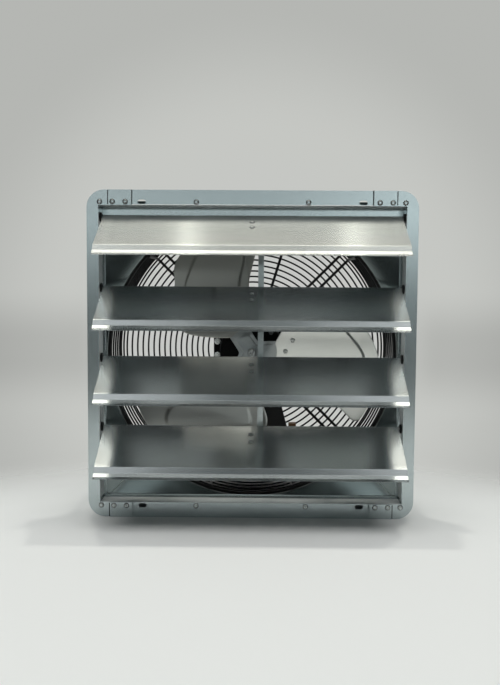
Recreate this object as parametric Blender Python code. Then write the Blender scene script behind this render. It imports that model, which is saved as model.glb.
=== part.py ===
"""Shutter exhaust fan: a square galvanised frame with four linked gravity louvres,
an orifice panel, a black wire guard that carries the motor, and a three-blade fan.

+X is to the right seen from outside, +Y goes into the wall, +Z is up. The origin is
where the fan's axis crosses the back of the front flange, which lies on the wall.
"""

import math

import bpy
import bmesh
from mathutils import Matrix, Vector

# Sheet metal and the air left between faces that touch
SHEET = 0.0012
GAP = 0.0003

# Front frame
FLANGE_SIZE = 0.528
CORNER_RADIUS = 0.028
SIDE_FLANGE_WIDTH = 0.0187
END_FLANGE_WIDTH = 0.0242
FRAME_DEPTH = 0.0345
TOP_RETURN = 0.0127
BOTTOM_RETURN = 0.005
SIDE_RETURN = 0.005
BEND_CHAMFER = 0.003
TAB_REACH = 0.071
TAB_OVERLAP = 0.036
JOGGLE_RUN = 0.002
FASTENER_RISE = 0.0052
CORNER_RIVET_INSET = 0.021
SMALL_RIVET_X = 0.089
SLOT_FROM_TAB = 0.017
SLOT_LENGTH = 0.0135
SLOT_WIDTH = 0.0072
RIVET_HEAD_RADIUS = 0.0032
RIVET_HEAD_HEIGHT = 0.0011
RIVET_SHANK_RADIUS = 0.0016
TAB_RIVET_SHARES = (0.25, 0.82)

# Orifice panel behind the frame
ORIFICE_MARGIN = 0.007
PANEL_DIP = 0.0122
COLLAR_LENGTH = 0.009
PANEL_SCREW_HEIGHT_SHARE = 0.709
PANEL_SCREW_HEAD_RADIUS = 0.004
PANEL_SCREW_HEAD_HEIGHT = 0.0022
PANEL_SCREW_SHANK_RADIUS = 0.0019
PANEL_SCREW_TIP = 0.0006

# Louvres
LOUVRE_COUNT = 4
LOUVRE_TOP_DROP = 0.0182
LOUVRE_SILL_DROP = 0.0086
LOUVRE_END_GAP = 0.0053
LOUVRE_SHEET = 0.0009
LOUVRE_REST_ANGLE = math.radians(31.4)
HINGE_DEPTH = 0.0118
PANEL_SHORTFALL = 0.0163
STRIP_LENGTH = 0.010
BAND_LENGTH = 0.0075
LIP_LENGTH = 0.0060
STRIP_BEND = math.radians(27.0)
BAND_BEND = math.radians(8.0)
LIP_BEND = math.radians(-14.0)
HEM_CLEARANCE = 0.0003
ROD_RADIUS = 0.00175
BUSHING_RADIUS = 0.0075
BUSHING_BARREL_RADIUS = 0.0034
BUSHING_FLANGE = 0.0034
BUSHING_TAIL = 0.0026
BUSHING_TO_SKIRT = 0.0026
ROD_TAIL = 0.0008

# Louvre brackets, tie bar and their pins
BRACKET_SHEET = 0.0015
BRACKET_WIDTH = 0.0186
BRACKET_FRONT = 0.046
BRACKET_BACK = 0.012
PIN_BEHIND = 0.006
PIN_BELOW = 0.0145
PIN_RADIUS = 0.0018
PIN_HOLE_CLEARANCE = 0.0003
EAR_MARGIN = 0.0055
LOUVRE_RIVET_RADIUS = 0.0034
LOUVRE_RIVET_HEIGHT = 0.0012
LOUVRE_RIVET_SHANK = 0.0016
LOUVRE_RIVET_PLACES = (0.0205, 0.0385)
TIE_SHEET = 0.0012
TIE_WIDTH = 0.0092
TIE_DEPTH = 0.009
TIE_END = 0.009
TIE_SIDE_GAP = 0.0008
PIN_HEAD_RADIUS = 0.0034
PIN_HEAD_HEIGHT = 0.0011

# Wire guard
RIB_RADIUS = 0.0025
RING_WIRE_RADIUS = 0.0016
GUARD_INSET = 0.005
GUARD_SHOULDER_RADIUS = 0.0113
GUARD_RIB_FRONT = 0.0008
MOUTH_RING_SETBACK = 0.0042
SIDE_RING_COUNT = 5
SIDE_RING_FIRST = 0.0202
SIDE_RING_LAST = 0.0043
BACK_RING_COUNT = 15
BACK_RING_FIRST = 0.0804
BACK_RING_EDGE = 0.0045
SHOULDER_RING_ANGLES = (22.0, 48.0, 72.0)
RIB_ON_PLATE = 0.010
RIB_PAIR_SPACING = 0.016
RIB_SPREAD = math.radians(17.0)
CLIP_WIDTH = 0.009
CLIP_SHEET = 0.0015
CLIP_LENGTH = 0.030
CLIP_HOOK = 0.0052
CLIP_SCREW_INSET = 0.009
CLIP_SCREW_HEAD_RADIUS = 0.004
CLIP_SCREW_HEAD_HEIGHT = 0.0028
CLIP_SCREW_SHANK_RADIUS = 0.002
CLIP_SCREW_TIP = 0.002
WELD_OVERLAP = 0.0008

# Motor, its plate and the junction box
MOTOR_RADIUS = 0.056
MOTOR_WALL = 0.0025
MOTOR_SHELL_LENGTH = 0.052
MOTOR_BELL_LENGTH = 0.009
MOTOR_BOSS_RADIUS = 0.021
MOTOR_BOSS_LENGTH = 0.006
MOTOR_PLATE_SHEET = 0.003
PLATE_BOLT_MARGIN = 0.001
PLATE_TONGUE_HALF = 0.048
PLATE_TONGUE_DROP = 0.156
PLATE_CORNER = 0.012
BOLT_TO_MOTOR = 0.002
PLATE_BOLT_Z = 0.0125
BOLT_HEAD_RADIUS = 0.0055
BOLT_HEAD_HEIGHT = 0.003
BOLT_SHANK_RADIUS = 0.0026
THROUGH_BOLT_INSET = 0.010
THROUGH_BOLT_HEAD = 0.0042
THROUGH_BOLT_HEAD_HEIGHT = 0.0026
BEARING_RADIUS = 0.0155
BEARING_WIDTH = 0.010
SHAFT_RADIUS = 0.00635
SHAFT_FRONT = 0.0588
RUNNING_GAP = 0.0004
STATOR_THICKNESS = 0.0232
STATOR_LENGTH = 0.030
WINDING_LENGTH = 0.0085
WINDING_INSET = 0.003
WINDING_THICKNESS = 0.011
SLOT_COUNT = 6
SLOT_HALF_WIDTH = 0.005
AIR_GAP = 0.0008
BOX_TOP_HALF = 0.048
BOX_BOTTOM_HALF = 0.066
BOX_TOP_DROP = 0.082
BOX_HEIGHT = 0.068
BOX_DEPTH = 0.036
BOX_WALL = 0.002
LID_SHEET = 0.002
LID_SCREW_RADIUS = 0.0034
LID_SCREW_HEIGHT = 0.0016
LID_SCREW_INSET = 0.008
INLET_WIDTH = 0.013
INLET_HEIGHT = 0.017
INLET_DEPTH = 0.016
INLET_BORE = 0.0038
LEAD_RADIUS = 0.0036

# Fan wheel
TIP_CLEARANCE = 0.0185
BLADE_SHEET = 0.0016
BLADE_PLANE = 0.0745
ROOT_SLOPE_SHARE = 0.25
TIP_SLOPE_SHARE = 0.19
BLADE_CAMBER = 0.006
ARM_SHEET = 0.0025
ARM_HALF_WIDTH = 0.018
ARM_PAD_HALF_WIDTH = 0.026
ARM_TIP_RADIUS = 0.082
SPIDER_RADIUS = 0.0225
HUB_RADIUS = 0.0165
HUB_LENGTH = 0.0125
HUB_TO_MOTOR = 0.0013
SET_SCREW_RADIUS = 0.0028
BLADE_RIVET_RADIUS = 0.0042
BLADE_RIVET_HEIGHT = 0.0014
BLADE_RIVET_SHANK = 0.002
BLADE_RIVET_SPACING = 0.037
BLADE_RIVET_INNER = 0.057
BLADE_RIVET_OUTER = 0.070
WHEEL_REST_TURN = math.radians(2.5)
BLADE_COUNT = 3

# Blade outline: radius as a share of the tip's, then the angles of its two edges in degrees
BLADE_EDGE_SHARES = (
    (0.19, -19.0, 19.0),
    (0.22, -26.0, 27.0),
    (0.30, -27.5, 35.5),
    (0.43, -29.0, 40.5),
    (0.55, -30.0, 40.0),
    (0.66, -32.5, 30.0),
    (0.77, -34.5, 17.0),
    (0.88, -36.0, 9.5),
    (0.95, -36.8, -1.0),
    (0.985, -35.6, -8.0),
    (1.0, -33.0, -14.0),
)
BLADE_COLUMNS = 6

# Spider arm: place as a share of its tip's radius, share of the blade's slope, share of the pad's widening
ARM_STATION_SHARES = (
    (0.16, 0.0, 0.0),
    (0.28, 0.0, 0.0),
    (0.48, 1.0, 0.0),
    (0.74, 1.0, 1.0),
    (1.0, 1.0, 0.9),
)

# Mesh fineness. The outer rings keep a multiple of 24 steps, so that a side's middle meets each rib
OUTER_RING_STEPS = 24
INNER_RING_STEPS = 14
RING_SIDES = 3
RIB_SIDES = 4
MOUTH_SIDES = 5
RIB_BEND_STEPS = 3
RIVET_STEPS = 6
PANEL_STEPS = 32
MOTOR_STEPS = 16
BUSHING_STEPS = 8
CUT_OVERRUN = 0.004

# Places that follow from the sizes above
HALF = FLANGE_SIZE / 2
JAMB_X = HALF - SIDE_FLANGE_WIDTH
JAMB_Z = HALF - END_FLANGE_WIDTH
TAB_X = HALF - TAB_REACH
MEMBER_END_X = TAB_X + TAB_OVERLAP
FASTENER_Z = JAMB_Z + FASTENER_RISE
PANEL_FRONT = FRAME_DEPTH + GAP
SKIRT_FRONT = HINGE_DEPTH + BUSHING_BARREL_RADIUS + BUSHING_TO_SKIRT
PANEL_HALF = JAMB_X + 2 * SHEET + GAP
ORIFICE_RADIUS = PANEL_HALF - ORIFICE_MARGIN
HOLE_FRONT = PANEL_FRONT + PANEL_DIP
COLLAR_REAR = HOLE_FRONT + COLLAR_LENGTH
LOUVRE_PITCH = (2 * JAMB_Z - LOUVRE_TOP_DROP - LOUVRE_SILL_DROP) / LOUVRE_COUNT
PANEL_LENGTH = LOUVRE_PITCH - PANEL_SHORTFALL
LOUVRE_HALF = JAMB_X - LOUVRE_END_GAP
HEM_INNER = ROD_RADIUS + HEM_CLEARANCE
HEM_OUTER = HEM_INNER + LOUVRE_SHEET
TOP_HINGE_Z = JAMB_Z - LOUVRE_TOP_DROP
ARM_FRONT = BLADE_PLANE + BLADE_SHEET / 2 + GAP
SPIDER_REAR = ARM_FRONT + ARM_SHEET
HUB_FRONT = SPIDER_REAR + GAP
HUB_REAR = HUB_FRONT + HUB_LENGTH
MOTOR_FRONT = HUB_REAR + HUB_TO_MOTOR + MOTOR_BOSS_LENGTH
SHELL_FRONT = MOTOR_FRONT + MOTOR_BELL_LENGTH
SHELL_REAR = SHELL_FRONT + MOTOR_SHELL_LENGTH
MOTOR_REAR = SHELL_REAR + MOTOR_BELL_LENGTH
STATOR_BORE = MOTOR_RADIUS - MOTOR_WALL - GAP - STATOR_THICKNESS
WINDING_INNER_RADIUS = STATOR_BORE + WINDING_INSET
WINDING_OUTER_RADIUS = WINDING_INNER_RADIUS + WINDING_THICKNESS
THROUGH_BOLT_CIRCLE = MOTOR_RADIUS - THROUGH_BOLT_INSET
PLATE_BOLT_X = MOTOR_RADIUS + BOLT_TO_MOTOR + BOLT_HEAD_RADIUS
MOTOR_PLATE_HALF = PLATE_BOLT_X + BOLT_HEAD_RADIUS + PLATE_BOLT_MARGIN
PLATE_FRONT = MOTOR_REAR + GAP
PLATE_REAR = PLATE_FRONT + MOTOR_PLATE_SHEET
BLADE_RADIUS = ORIFICE_RADIUS - TIP_CLEARANCE
GUARD_RIB_CIRCLE = ORIFICE_RADIUS - GUARD_INSET
RIB_INNER_RADIUS = MOTOR_PLATE_HALF - RIB_ON_PLATE
WELD_SINK = GAP + WELD_OVERLAP
GUARD_BACK_DEPTH = PLATE_REAR + GAP + RIB_RADIUS
RING_OFFSET = RIB_RADIUS + GAP + RING_WIRE_RADIUS
SIDE_RING_RADIUS = GUARD_RIB_CIRCLE + RING_OFFSET
MOUTH_RING_RADIUS = GUARD_RIB_CIRCLE + 2 * RIB_RADIUS - WELD_SINK
MOUTH_RING_DEPTH = COLLAR_REAR + MOUTH_RING_SETBACK
SHOULDER_START = GUARD_BACK_DEPTH - GUARD_SHOULDER_RADIUS
SHOULDER_CENTRE = GUARD_RIB_CIRCLE - GUARD_SHOULDER_RADIUS
BACK_RING_PITCH = (SHOULDER_CENTRE - BACK_RING_EDGE - BACK_RING_FIRST) / (BACK_RING_COUNT - 1)


def clear_scene():
    """Remove whatever the scene holds."""
    for old in list(bpy.data.objects):
        bpy.data.objects.remove(old, do_unlink=True)


def make_material(name, colour, roughness, metallic):
    """A Principled material named after the piece that wears it."""
    material = bpy.data.materials.new(name)
    material.use_nodes = True
    shader = material.node_tree.nodes["Principled BSDF"]
    shader.inputs["Base Color"].default_value = (*colour, 1)
    shader.inputs["Roughness"].default_value = roughness
    shader.inputs["Metallic"].default_value = metallic
    return material


GALVANISED = ((0.55, 0.60, 0.63), 0.42, 0.9)
MILL_ALUMINIUM = ((0.72, 0.73, 0.72), 0.34, 1.0)
BLACK_PAINT = ((0.015, 0.015, 0.016), 0.45, 0.1)
BLACK_PLASTIC = ((0.02, 0.02, 0.02), 0.5, 0.0)
PLAIN_STEEL = ((0.50, 0.50, 0.50), 0.35, 1.0)
CAST_GREY = ((0.36, 0.38, 0.39), 0.5, 0.8)
COPPER = ((0.72, 0.36, 0.16), 0.4, 1.0)
OCHRE = ((0.22, 0.13, 0.04), 0.6, 0.0)


def add_object(name, bm, look, parent=None):
    """Turn a bmesh into a named object with outward faces and its own material."""
    bmesh.ops.recalc_face_normals(bm, faces=bm.faces)
    mesh = bpy.data.meshes.new(name)
    bm.to_mesh(mesh)
    bm.free()
    return add_mesh(name, mesh, look, parent)


def add_mesh(name, mesh, look, parent=None):
    """Place a mesh, which copies may share, as an object under its parent."""
    obj = bpy.data.objects.new(name, mesh)
    bpy.context.scene.collection.objects.link(obj)
    mesh.shade_smooth()
    mesh.set_sharp_from_angle(angle=math.radians(35))
    if not mesh.materials:
        mesh.materials.append(make_material(name, *look))
    if parent:
        obj.parent = parent
    return obj


def add_pivot(name, place, turn=(0, 0, 0)):
    """An empty on a joint's axis."""
    pivot = bpy.data.objects.new(name, None)
    bpy.context.scene.collection.objects.link(pivot)
    pivot.location = place
    pivot.rotation_euler = turn
    return pivot


def prism(outline, axis, low, high):
    """A closed solid: an outline in two axes, extruded along the third."""
    bm = bmesh.new()
    order = {"X": lambda p, h: (h, p[0], p[1]), "Y": lambda p, h: (p[0], h, p[1]),
             "Z": lambda p, h: (p[0], p[1], h)}[axis]
    near = [bm.verts.new(order(point, low)) for point in outline]
    far = [bm.verts.new(order(point, high)) for point in outline]
    bm.faces.new(near)
    bm.faces.new(far[::-1])
    count = len(outline)
    for i in range(count):
        j = (i + 1) % count
        bm.faces.new((near[i], far[i], far[j], near[j]))
    bmesh.ops.recalc_face_normals(bm, faces=bm.faces)
    return bm


def block(x, y, z):
    """A box between pairs of limits."""
    outline = [(x[0], y[0]), (x[1], y[0]), (x[1], y[1]), (x[0], y[1])]
    return prism(outline, "Z", z[0], z[1])


def arc(centre, radius, start, end, steps):
    """Points along an arc, angles in degrees."""
    points = []
    for i in range(steps + 1):
        angle = math.radians(start + (end - start) * i / steps)
        points.append((centre[0] + radius * math.cos(angle), centre[1] + radius * math.sin(angle)))
    return points


def loft(rings):
    """A closed tube of rings, each a list of points, whose last ring joins the first."""
    bm = bmesh.new()
    loops = [[bm.verts.new(point) for point in ring] for ring in rings]
    for k, loop in enumerate(loops):
        after = loops[(k + 1) % len(loops)]
        for i in range(len(loop)):
            j = (i + 1) % len(loop)
            bm.faces.new((loop[i], loop[j], after[j], after[i]))
    bmesh.ops.recalc_face_normals(bm, faces=bm.faces)
    return bm


def turned(profile, steps):
    """A solid of revolution about Y from a closed profile of (radius, depth)."""
    rings = []
    for radius, depth in profile:
        ring = []
        for i in range(steps):
            angle = 2 * math.pi * i / steps
            ring.append((radius * math.cos(angle), depth, radius * math.sin(angle)))
        rings.append(ring)
    return loft(rings)


def disc_stack(levels, steps):
    """A solid rod about Y from (radius, depth) levels, with flat ends."""
    bm = bmesh.new()
    loops = []
    for radius, depth in levels:
        loop = []
        for i in range(steps):
            angle = 2 * math.pi * (i + 0.5) / steps
            loop.append(bm.verts.new((radius * math.cos(angle), depth, radius * math.sin(angle))))
        loops.append(loop)
    bm.faces.new(loops[0])
    bm.faces.new(loops[-1][::-1])
    for near, far in zip(loops, loops[1:]):
        for i in range(steps):
            j = (i + 1) % steps
            bm.faces.new((near[i], far[i], far[j], near[j]))
    bmesh.ops.recalc_face_normals(bm, faces=bm.faces)
    return bm


def wire(points, radius, sides, closed=False, turn=0.5):
    """A tube of a few sides along points; a closed one is a ring."""
    bm = bmesh.new()
    count = len(points)
    path = [Vector(point) for point in points]
    loops = []
    for i, place in enumerate(path):
        before = path[i - 1] if closed or i else place
        after = path[(i + 1) % count] if closed or i < count - 1 else place
        along = (after - before).normalized()
        side = along.orthogonal() if not loops else (side - side.dot(along) * along)
        side.normalize()
        other = along.cross(side)
        stretch = 1
        if before != place and after != place:
            stretch = 1 / math.cos((place - before).angle(after - place) / 2)
        loop = []
        for k in range(sides):
            angle = 2 * math.pi * (k + turn) / sides
            spoke = side * math.cos(angle) + other * math.sin(angle) * (stretch if not closed else 1)
            loop.append(bm.verts.new(place + spoke * radius))
        loops.append(loop)
    pairs = list(zip(loops, loops[1:]))
    if closed:
        pairs.append((loops[-1], loops[0]))
    else:
        bm.faces.new(loops[0][::-1])
        bm.faces.new(loops[-1])
    for near, far in pairs:
        for k in range(sides):
            j = (k + 1) % sides
            bm.faces.new((near[k], near[j], far[j], far[k]))
    bmesh.ops.recalc_face_normals(bm, faces=bm.faces)
    return bm


def gather(pieces):
    """Several solids in one bmesh, to be used as one Boolean operand."""
    whole = bmesh.new()
    for piece in pieces:
        mesh = bpy.data.meshes.new("piece")
        piece.to_mesh(mesh)
        piece.free()
        whole.from_mesh(mesh)
        bpy.data.meshes.remove(mesh)
    return whole


def moved(bm, matrix):
    """The same solid after a move."""
    bmesh.ops.transform(bm, matrix=matrix, verts=bm.verts)
    if matrix.determinant() < 0:
        bmesh.ops.reverse_faces(bm, faces=bm.faces)
    return bm


def combined(base, tools, operation):
    """Unite a solid with tools, or cut them from it, with exact Booleans."""
    base_mesh = bpy.data.meshes.new("base")
    base.to_mesh(base_mesh)
    base.free()
    target = bpy.data.objects.new("base", base_mesh)
    bpy.context.scene.collection.objects.link(target)
    helpers = []
    for tool in tools:
        tool_mesh = bpy.data.meshes.new("tool")
        tool.to_mesh(tool_mesh)
        tool.free()
        helper = bpy.data.objects.new("tool", tool_mesh)
        bpy.context.scene.collection.objects.link(helper)
        modifier = target.modifiers.new("shape", "BOOLEAN")
        modifier.operation = operation
        modifier.solver = "EXACT"
        modifier.object = helper
        helpers.append(helper)
    bpy.context.view_layer.update()
    graph = bpy.context.evaluated_depsgraph_get()
    result = bmesh.new()
    result.from_object(target, graph)
    for helper in helpers:
        bpy.data.objects.remove(helper, do_unlink=True)
    bpy.data.objects.remove(target, do_unlink=True)
    return result


def united(pieces):
    """One solid from pieces that overlap."""
    return combined(pieces[0], pieces[1:], "UNION")


def joined(base, pieces):
    """A solid with separate small pieces united to it."""
    return combined(base, [gather(pieces)], "UNION")


def cut(base, tools):
    """A solid less its holes."""
    return combined(base, [gather(tools)], "DIFFERENCE")


def peg(x, z, radius, front, back, steps=RIVET_STEPS):
    """A round rod along Y, for shanks and for holes."""
    return moved(disc_stack([(radius, front), (radius, back)], steps), Matrix.Translation((x, 0, z)))


def rivet(x, z, face, back, radius, height, shank):
    """A domed head in front of a face, on a shank that ends flush at the back."""
    brim = face - height / 3
    levels = [(radius / 2, face - height), (radius, brim), (radius, face), (shank, face), (shank, back)]
    return moved(disc_stack(levels, RIVET_STEPS), Matrix.Translation((x, 0, z)))


def end_signs():
    """Right then left."""
    return (1, -1)


def row_signs():
    """The four combinations of left, right, top and bottom."""
    return [(sx, sz) for sx in (1, -1) for sz in (1, -1)]


def tab_rivet_x():
    """Where the rivets stand across a corner tab."""
    return [TAB_X + TAB_OVERLAP * share for share in TAB_RIVET_SHARES]


# Frame


def side_flange_outline():
    """Flange of the right member with its rounded corners and the tabs behind the end members."""
    inset = HALF - CORNER_RADIUS
    top = arc((inset, inset), CORNER_RADIUS, 90, 0, 8)
    bottom = arc((inset, -inset), CORNER_RADIUS, 0, -90, 8)
    inner = [(TAB_X, -HALF), (TAB_X, -JAMB_Z), (JAMB_X, -JAMB_Z)]
    inner += [(x, -z) for x, z in reversed(inner)]
    return inner + top + bottom


def side_member():
    """Right member: flange, jamb wall and the return at the jamb's rear."""
    flange = prism(side_flange_outline(), "Y", -SHEET, 0)
    wall = block((JAMB_X, JAMB_X + SHEET), (-SHEET, FRAME_DEPTH), (-JAMB_Z - SHEET, JAMB_Z + SHEET))
    lip = [
        (JAMB_X + SHEET / 2, FRAME_DEPTH),
        (JAMB_X - SIDE_RETURN, FRAME_DEPTH),
        (JAMB_X - SIDE_RETURN, FRAME_DEPTH - SHEET),
        (JAMB_X - BEND_CHAMFER, FRAME_DEPTH - SHEET),
        (JAMB_X, FRAME_DEPTH - SHEET - BEND_CHAMFER),
        (JAMB_X + SHEET / 2, FRAME_DEPTH - SHEET - BEND_CHAMFER),
    ]
    low = -JAMB_Z + BOTTOM_RETURN + GAP
    high = JAMB_Z - TOP_RETURN - GAP
    member = united([flange, wall, prism(lip, "Z", low, high)])
    holes = []
    rivets = []
    for sz in (1, -1):
        rivets.append(frame_rivet(HALF - CORNER_RIVET_INSET, sz * FASTENER_Z, -SHEET))
        for x in tab_rivet_x():
            rivets.append(frame_rivet(x, sz * FASTENER_Z, -2 * SHEET - 2 * GAP))
    for z in louvre_heights():
        barrel = peg(0, 0, BUSHING_BARREL_RADIUS + GAP, -CUT_OVERRUN, SHEET + CUT_OVERRUN, 12)
        place = Matrix.Translation((JAMB_X, HINGE_DEPTH, z)) @ Matrix.Rotation(math.radians(-90), 4, "Z")
        holes.append(moved(barrel, place))
    for z in panel_screw_heights():
        shank = peg(0, 0, PANEL_SCREW_SHANK_RADIUS + GAP, -CUT_OVERRUN, SHEET + CUT_OVERRUN)
        place = Matrix.Translation((JAMB_X, panel_screw_depth(), z))
        place = place @ Matrix.Rotation(math.radians(-90), 4, "Z")
        holes.append(moved(shank, place))
    return joined(cut(member, holes), rivets)


def end_member(return_height):
    """Top member, whose ends step forward over the side members' tabs."""
    step = -SHEET - GAP
    bend = TAB_X - GAP - JOGGLE_RUN
    front = [(-MEMBER_END_X, step - SHEET), (-TAB_X + GAP, step - SHEET), (-bend, -SHEET),
             (bend, -SHEET), (TAB_X - GAP, step - SHEET), (MEMBER_END_X, step - SHEET)]
    back = [(MEMBER_END_X, step), (TAB_X - GAP, step), (bend, 0), (-bend, 0), (-TAB_X + GAP, step),
            (-MEMBER_END_X, step)]
    flange = prism(front + back, "Z", JAMB_Z, HALF)
    wall = [
        (GAP, JAMB_Z),
        (FRAME_DEPTH - SHEET - BEND_CHAMFER, JAMB_Z),
        (FRAME_DEPTH - SHEET, JAMB_Z - BEND_CHAMFER),
        (FRAME_DEPTH - SHEET, JAMB_Z - return_height),
        (FRAME_DEPTH, JAMB_Z - return_height),
        (FRAME_DEPTH, JAMB_Z + SHEET),
        (GAP, JAMB_Z + SHEET),
    ]
    web = prism(wall, "X", -JAMB_X + GAP, JAMB_X - GAP)
    root = block((-bend, bend), (-SHEET / 2, 2 * GAP), (JAMB_Z, JAMB_Z + SHEET))
    member = united([flange, web, root])
    holes = []
    rivets = []
    for sx in end_signs():
        rivets.append(frame_rivet(sx * SMALL_RIVET_X, FASTENER_Z, -SHEET))
        for x in tab_rivet_x():
            holes.append(peg(sx * x, FASTENER_Z, RIVET_SHANK_RADIUS + GAP, -CUT_OVERRUN, CUT_OVERRUN))
        holes.append(prism(slot_outline(sx * (TAB_X - SLOT_FROM_TAB)), "Y", -CUT_OVERRUN, CUT_OVERRUN))
    return joined(cut(member, holes), rivets)


def slot_outline(x):
    """An oblong hole centred on the fastener row."""
    reach = (SLOT_LENGTH - SLOT_WIDTH) / 2
    right = arc((x + reach, FASTENER_Z), SLOT_WIDTH / 2, -90, 90, 6)
    left = arc((x - reach, FASTENER_Z), SLOT_WIDTH / 2, 90, 270, 6)
    return right + left


def frame_rivet(x, z, face):
    """A set rivet: its shank is one with the sheet behind, and its head stands in front."""
    return rivet(x, z, face, -SHEET / 2, RIVET_HEAD_RADIUS, RIVET_HEAD_HEIGHT, RIVET_SHANK_RADIUS)


def add_frame():
    """The four sheet-metal members, each with the rivets set in it."""
    flip_x = Matrix.Diagonal((-1, 1, 1, 1))
    flip_z = Matrix.Diagonal((1, 1, -1, 1))
    add_object("frame_right", side_member(), GALVANISED)
    add_object("frame_left", moved(side_member(), flip_x), GALVANISED)
    add_object("frame_top", end_member(TOP_RETURN), GALVANISED)
    add_object("frame_bottom", moved(end_member(BOTTOM_RETURN), flip_z), GALVANISED)


# Orifice panel


def square_ring(half, depth):
    """A square ring of points, one at each step of the panel's angle."""
    ring = []
    for i in range(PANEL_STEPS):
        angle = 2 * math.pi * i / PANEL_STEPS
        reach = half / max(abs(math.cos(angle)), abs(math.sin(angle)))
        ring.append((reach * math.cos(angle), depth, reach * math.sin(angle)))
    return ring


def round_ring(radius, depth):
    """A round ring of points that match the square ring's."""
    ring = []
    for i in range(PANEL_STEPS):
        angle = 2 * math.pi * i / PANEL_STEPS
        ring.append((radius * math.cos(angle), depth, radius * math.sin(angle)))
    return ring


def panel_screw_heights():
    """Heights of the screws on each side of the panel's skirt."""
    spread = JAMB_Z * PANEL_SCREW_HEIGHT_SHARE
    return (-spread, 0, spread)


def panel_screw_depth():
    """Depth of the screws, in the middle of the skirt."""
    return (PANEL_FRONT + SKIRT_FRONT) / 2


def add_orifice_panel():
    """A shallow pan over the jambs, creased at its corners, with a round collar and its side screws."""
    rings = [
        square_ring(PANEL_HALF, SKIRT_FRONT),
        square_ring(PANEL_HALF, PANEL_FRONT + SHEET),
        round_ring(ORIFICE_RADIUS + SHEET, HOLE_FRONT + SHEET),
        round_ring(ORIFICE_RADIUS + SHEET, COLLAR_REAR),
        round_ring(ORIFICE_RADIUS, COLLAR_REAR),
        round_ring(ORIFICE_RADIUS, HOLE_FRONT),
        square_ring(PANEL_HALF - SHEET, PANEL_FRONT),
        square_ring(PANEL_HALF - SHEET, SKIRT_FRONT),
    ]
    holes = []
    screws = []
    for sx in end_signs():
        for z in panel_screw_heights():
            place = Matrix.Translation((sx * PANEL_HALF, panel_screw_depth(), z))
            place = place @ Matrix.Rotation(math.radians(90 * sx), 4, "Z")
            through = 2 * SHEET + GAP + PANEL_SCREW_TIP
            levels = [
                (PANEL_SCREW_HEAD_RADIUS, -PANEL_SCREW_HEAD_HEIGHT),
                (PANEL_SCREW_HEAD_RADIUS, SHEET / 2),
                (PANEL_SCREW_SHANK_RADIUS, SHEET / 2),
                (PANEL_SCREW_SHANK_RADIUS, through),
            ]
            screws.append(moved(disc_stack(levels, RIVET_STEPS), place))
    for sx, sz in row_signs():
        place = clip_frame(sx, sz)
        place = place @ Matrix.Translation((clip_screw_radius(), panel_back(clip_screw_radius()), 0))
        hole = peg(0, 0, CLIP_SCREW_SHANK_RADIUS + GAP, -CUT_OVERRUN, CUT_OVERRUN)
        holes.append(moved(hole, place))
    add_object("orifice_panel", joined(cut(loft(rings), holes), screws), GALVANISED)


def panel_back(radius):
    """Depth of the panel's back face along a diagonal."""
    corner = PANEL_HALF * math.sqrt(2)
    edge = ORIFICE_RADIUS + SHEET
    share = (corner - radius) / (corner - edge)
    return PANEL_FRONT + SHEET + PANEL_DIP * share


# Guard


def clip_frame(sx, sz):
    """Turns +X onto the diagonal towards one corner."""
    return Matrix.Rotation(-math.atan2(sz, sx), 4, "Y")


def clip_screw_radius():
    """Distance of a clip's screw from the fan's axis."""
    return MOUTH_RING_RADIUS + CLIP_LENGTH - CLIP_SCREW_INSET


def guard_clip():
    """A hook over the mouth ring with a foot and its screw on the panel's back, along +X."""
    riser = MOUTH_RING_RADIUS + RIB_RADIUS + GAP
    toe = MOUTH_RING_RADIUS + CLIP_LENGTH
    top = MOUTH_RING_DEPTH + RIB_RADIUS + GAP
    outline = [
        (toe, panel_back(toe) + GAP),
        (toe, panel_back(toe) + GAP + CLIP_SHEET),
        (riser + CLIP_SHEET, panel_back(riser) + GAP + CLIP_SHEET),
        (riser + CLIP_SHEET, top + CLIP_SHEET),
        (riser - CLIP_HOOK, top + CLIP_SHEET),
        (riser - CLIP_HOOK, top),
        (riser, top),
        (riser, panel_back(riser) + GAP),
    ]
    clip = prism(outline, "Z", -CLIP_WIDTH / 2, CLIP_WIDTH / 2)
    radius = clip_screw_radius()
    seat = panel_back(radius) + GAP + CLIP_SHEET
    levels = [
        (CLIP_SCREW_HEAD_RADIUS, seat + CLIP_SCREW_HEAD_HEIGHT),
        (CLIP_SCREW_HEAD_RADIUS, seat - CLIP_SHEET / 2),
        (CLIP_SCREW_SHANK_RADIUS, seat - CLIP_SHEET / 2),
        (CLIP_SCREW_SHANK_RADIUS, panel_back(radius) - SHEET - CLIP_SCREW_TIP),
    ]
    return united([clip, moved(disc_stack(levels, 6), Matrix.Translation((radius, 0, 0)))])


def wire_ring(radius, depth, wire_radius, steps, sides=RING_SIDES):
    """A ring of wire about the fan's axis, whose sides touch the given radius at their middles."""
    corner = radius / math.cos(math.pi / steps)
    points = []
    for i in range(steps):
        angle = 2 * math.pi * (i + 0.5) / steps
        points.append((corner * math.cos(angle), depth, corner * math.sin(angle)))
    return wire(points, wire_radius, sides, closed=True)


def rib_lines():
    """Direction, sideways shift and weld of the sixteen ribs: pairs on the diagonals, singles between.

    Two opposite ribs are welded to every ring. The others are held by three rings: those at the mouth
    and in the middle of the shoulder, and the outermost on the back."""
    lines = []
    for quarter in range(4):
        diagonal = math.radians(45 + 90 * quarter)
        axis = math.radians(90 * quarter)
        lines.append((diagonal, RIB_PAIR_SPACING / 2, False))
        lines.append((diagonal, -RIB_PAIR_SPACING / 2, False))
        lines.append((axis + RIB_SPREAD, 0, quarter % 2 == 0))
        lines.append((axis - RIB_SPREAD, 0, False))
    return lines


def rib_matrix(angle):
    """Turns +X to a rib's direction, measured from +X towards +Z."""
    return Matrix.Rotation(-angle, 4, "Y")


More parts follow.
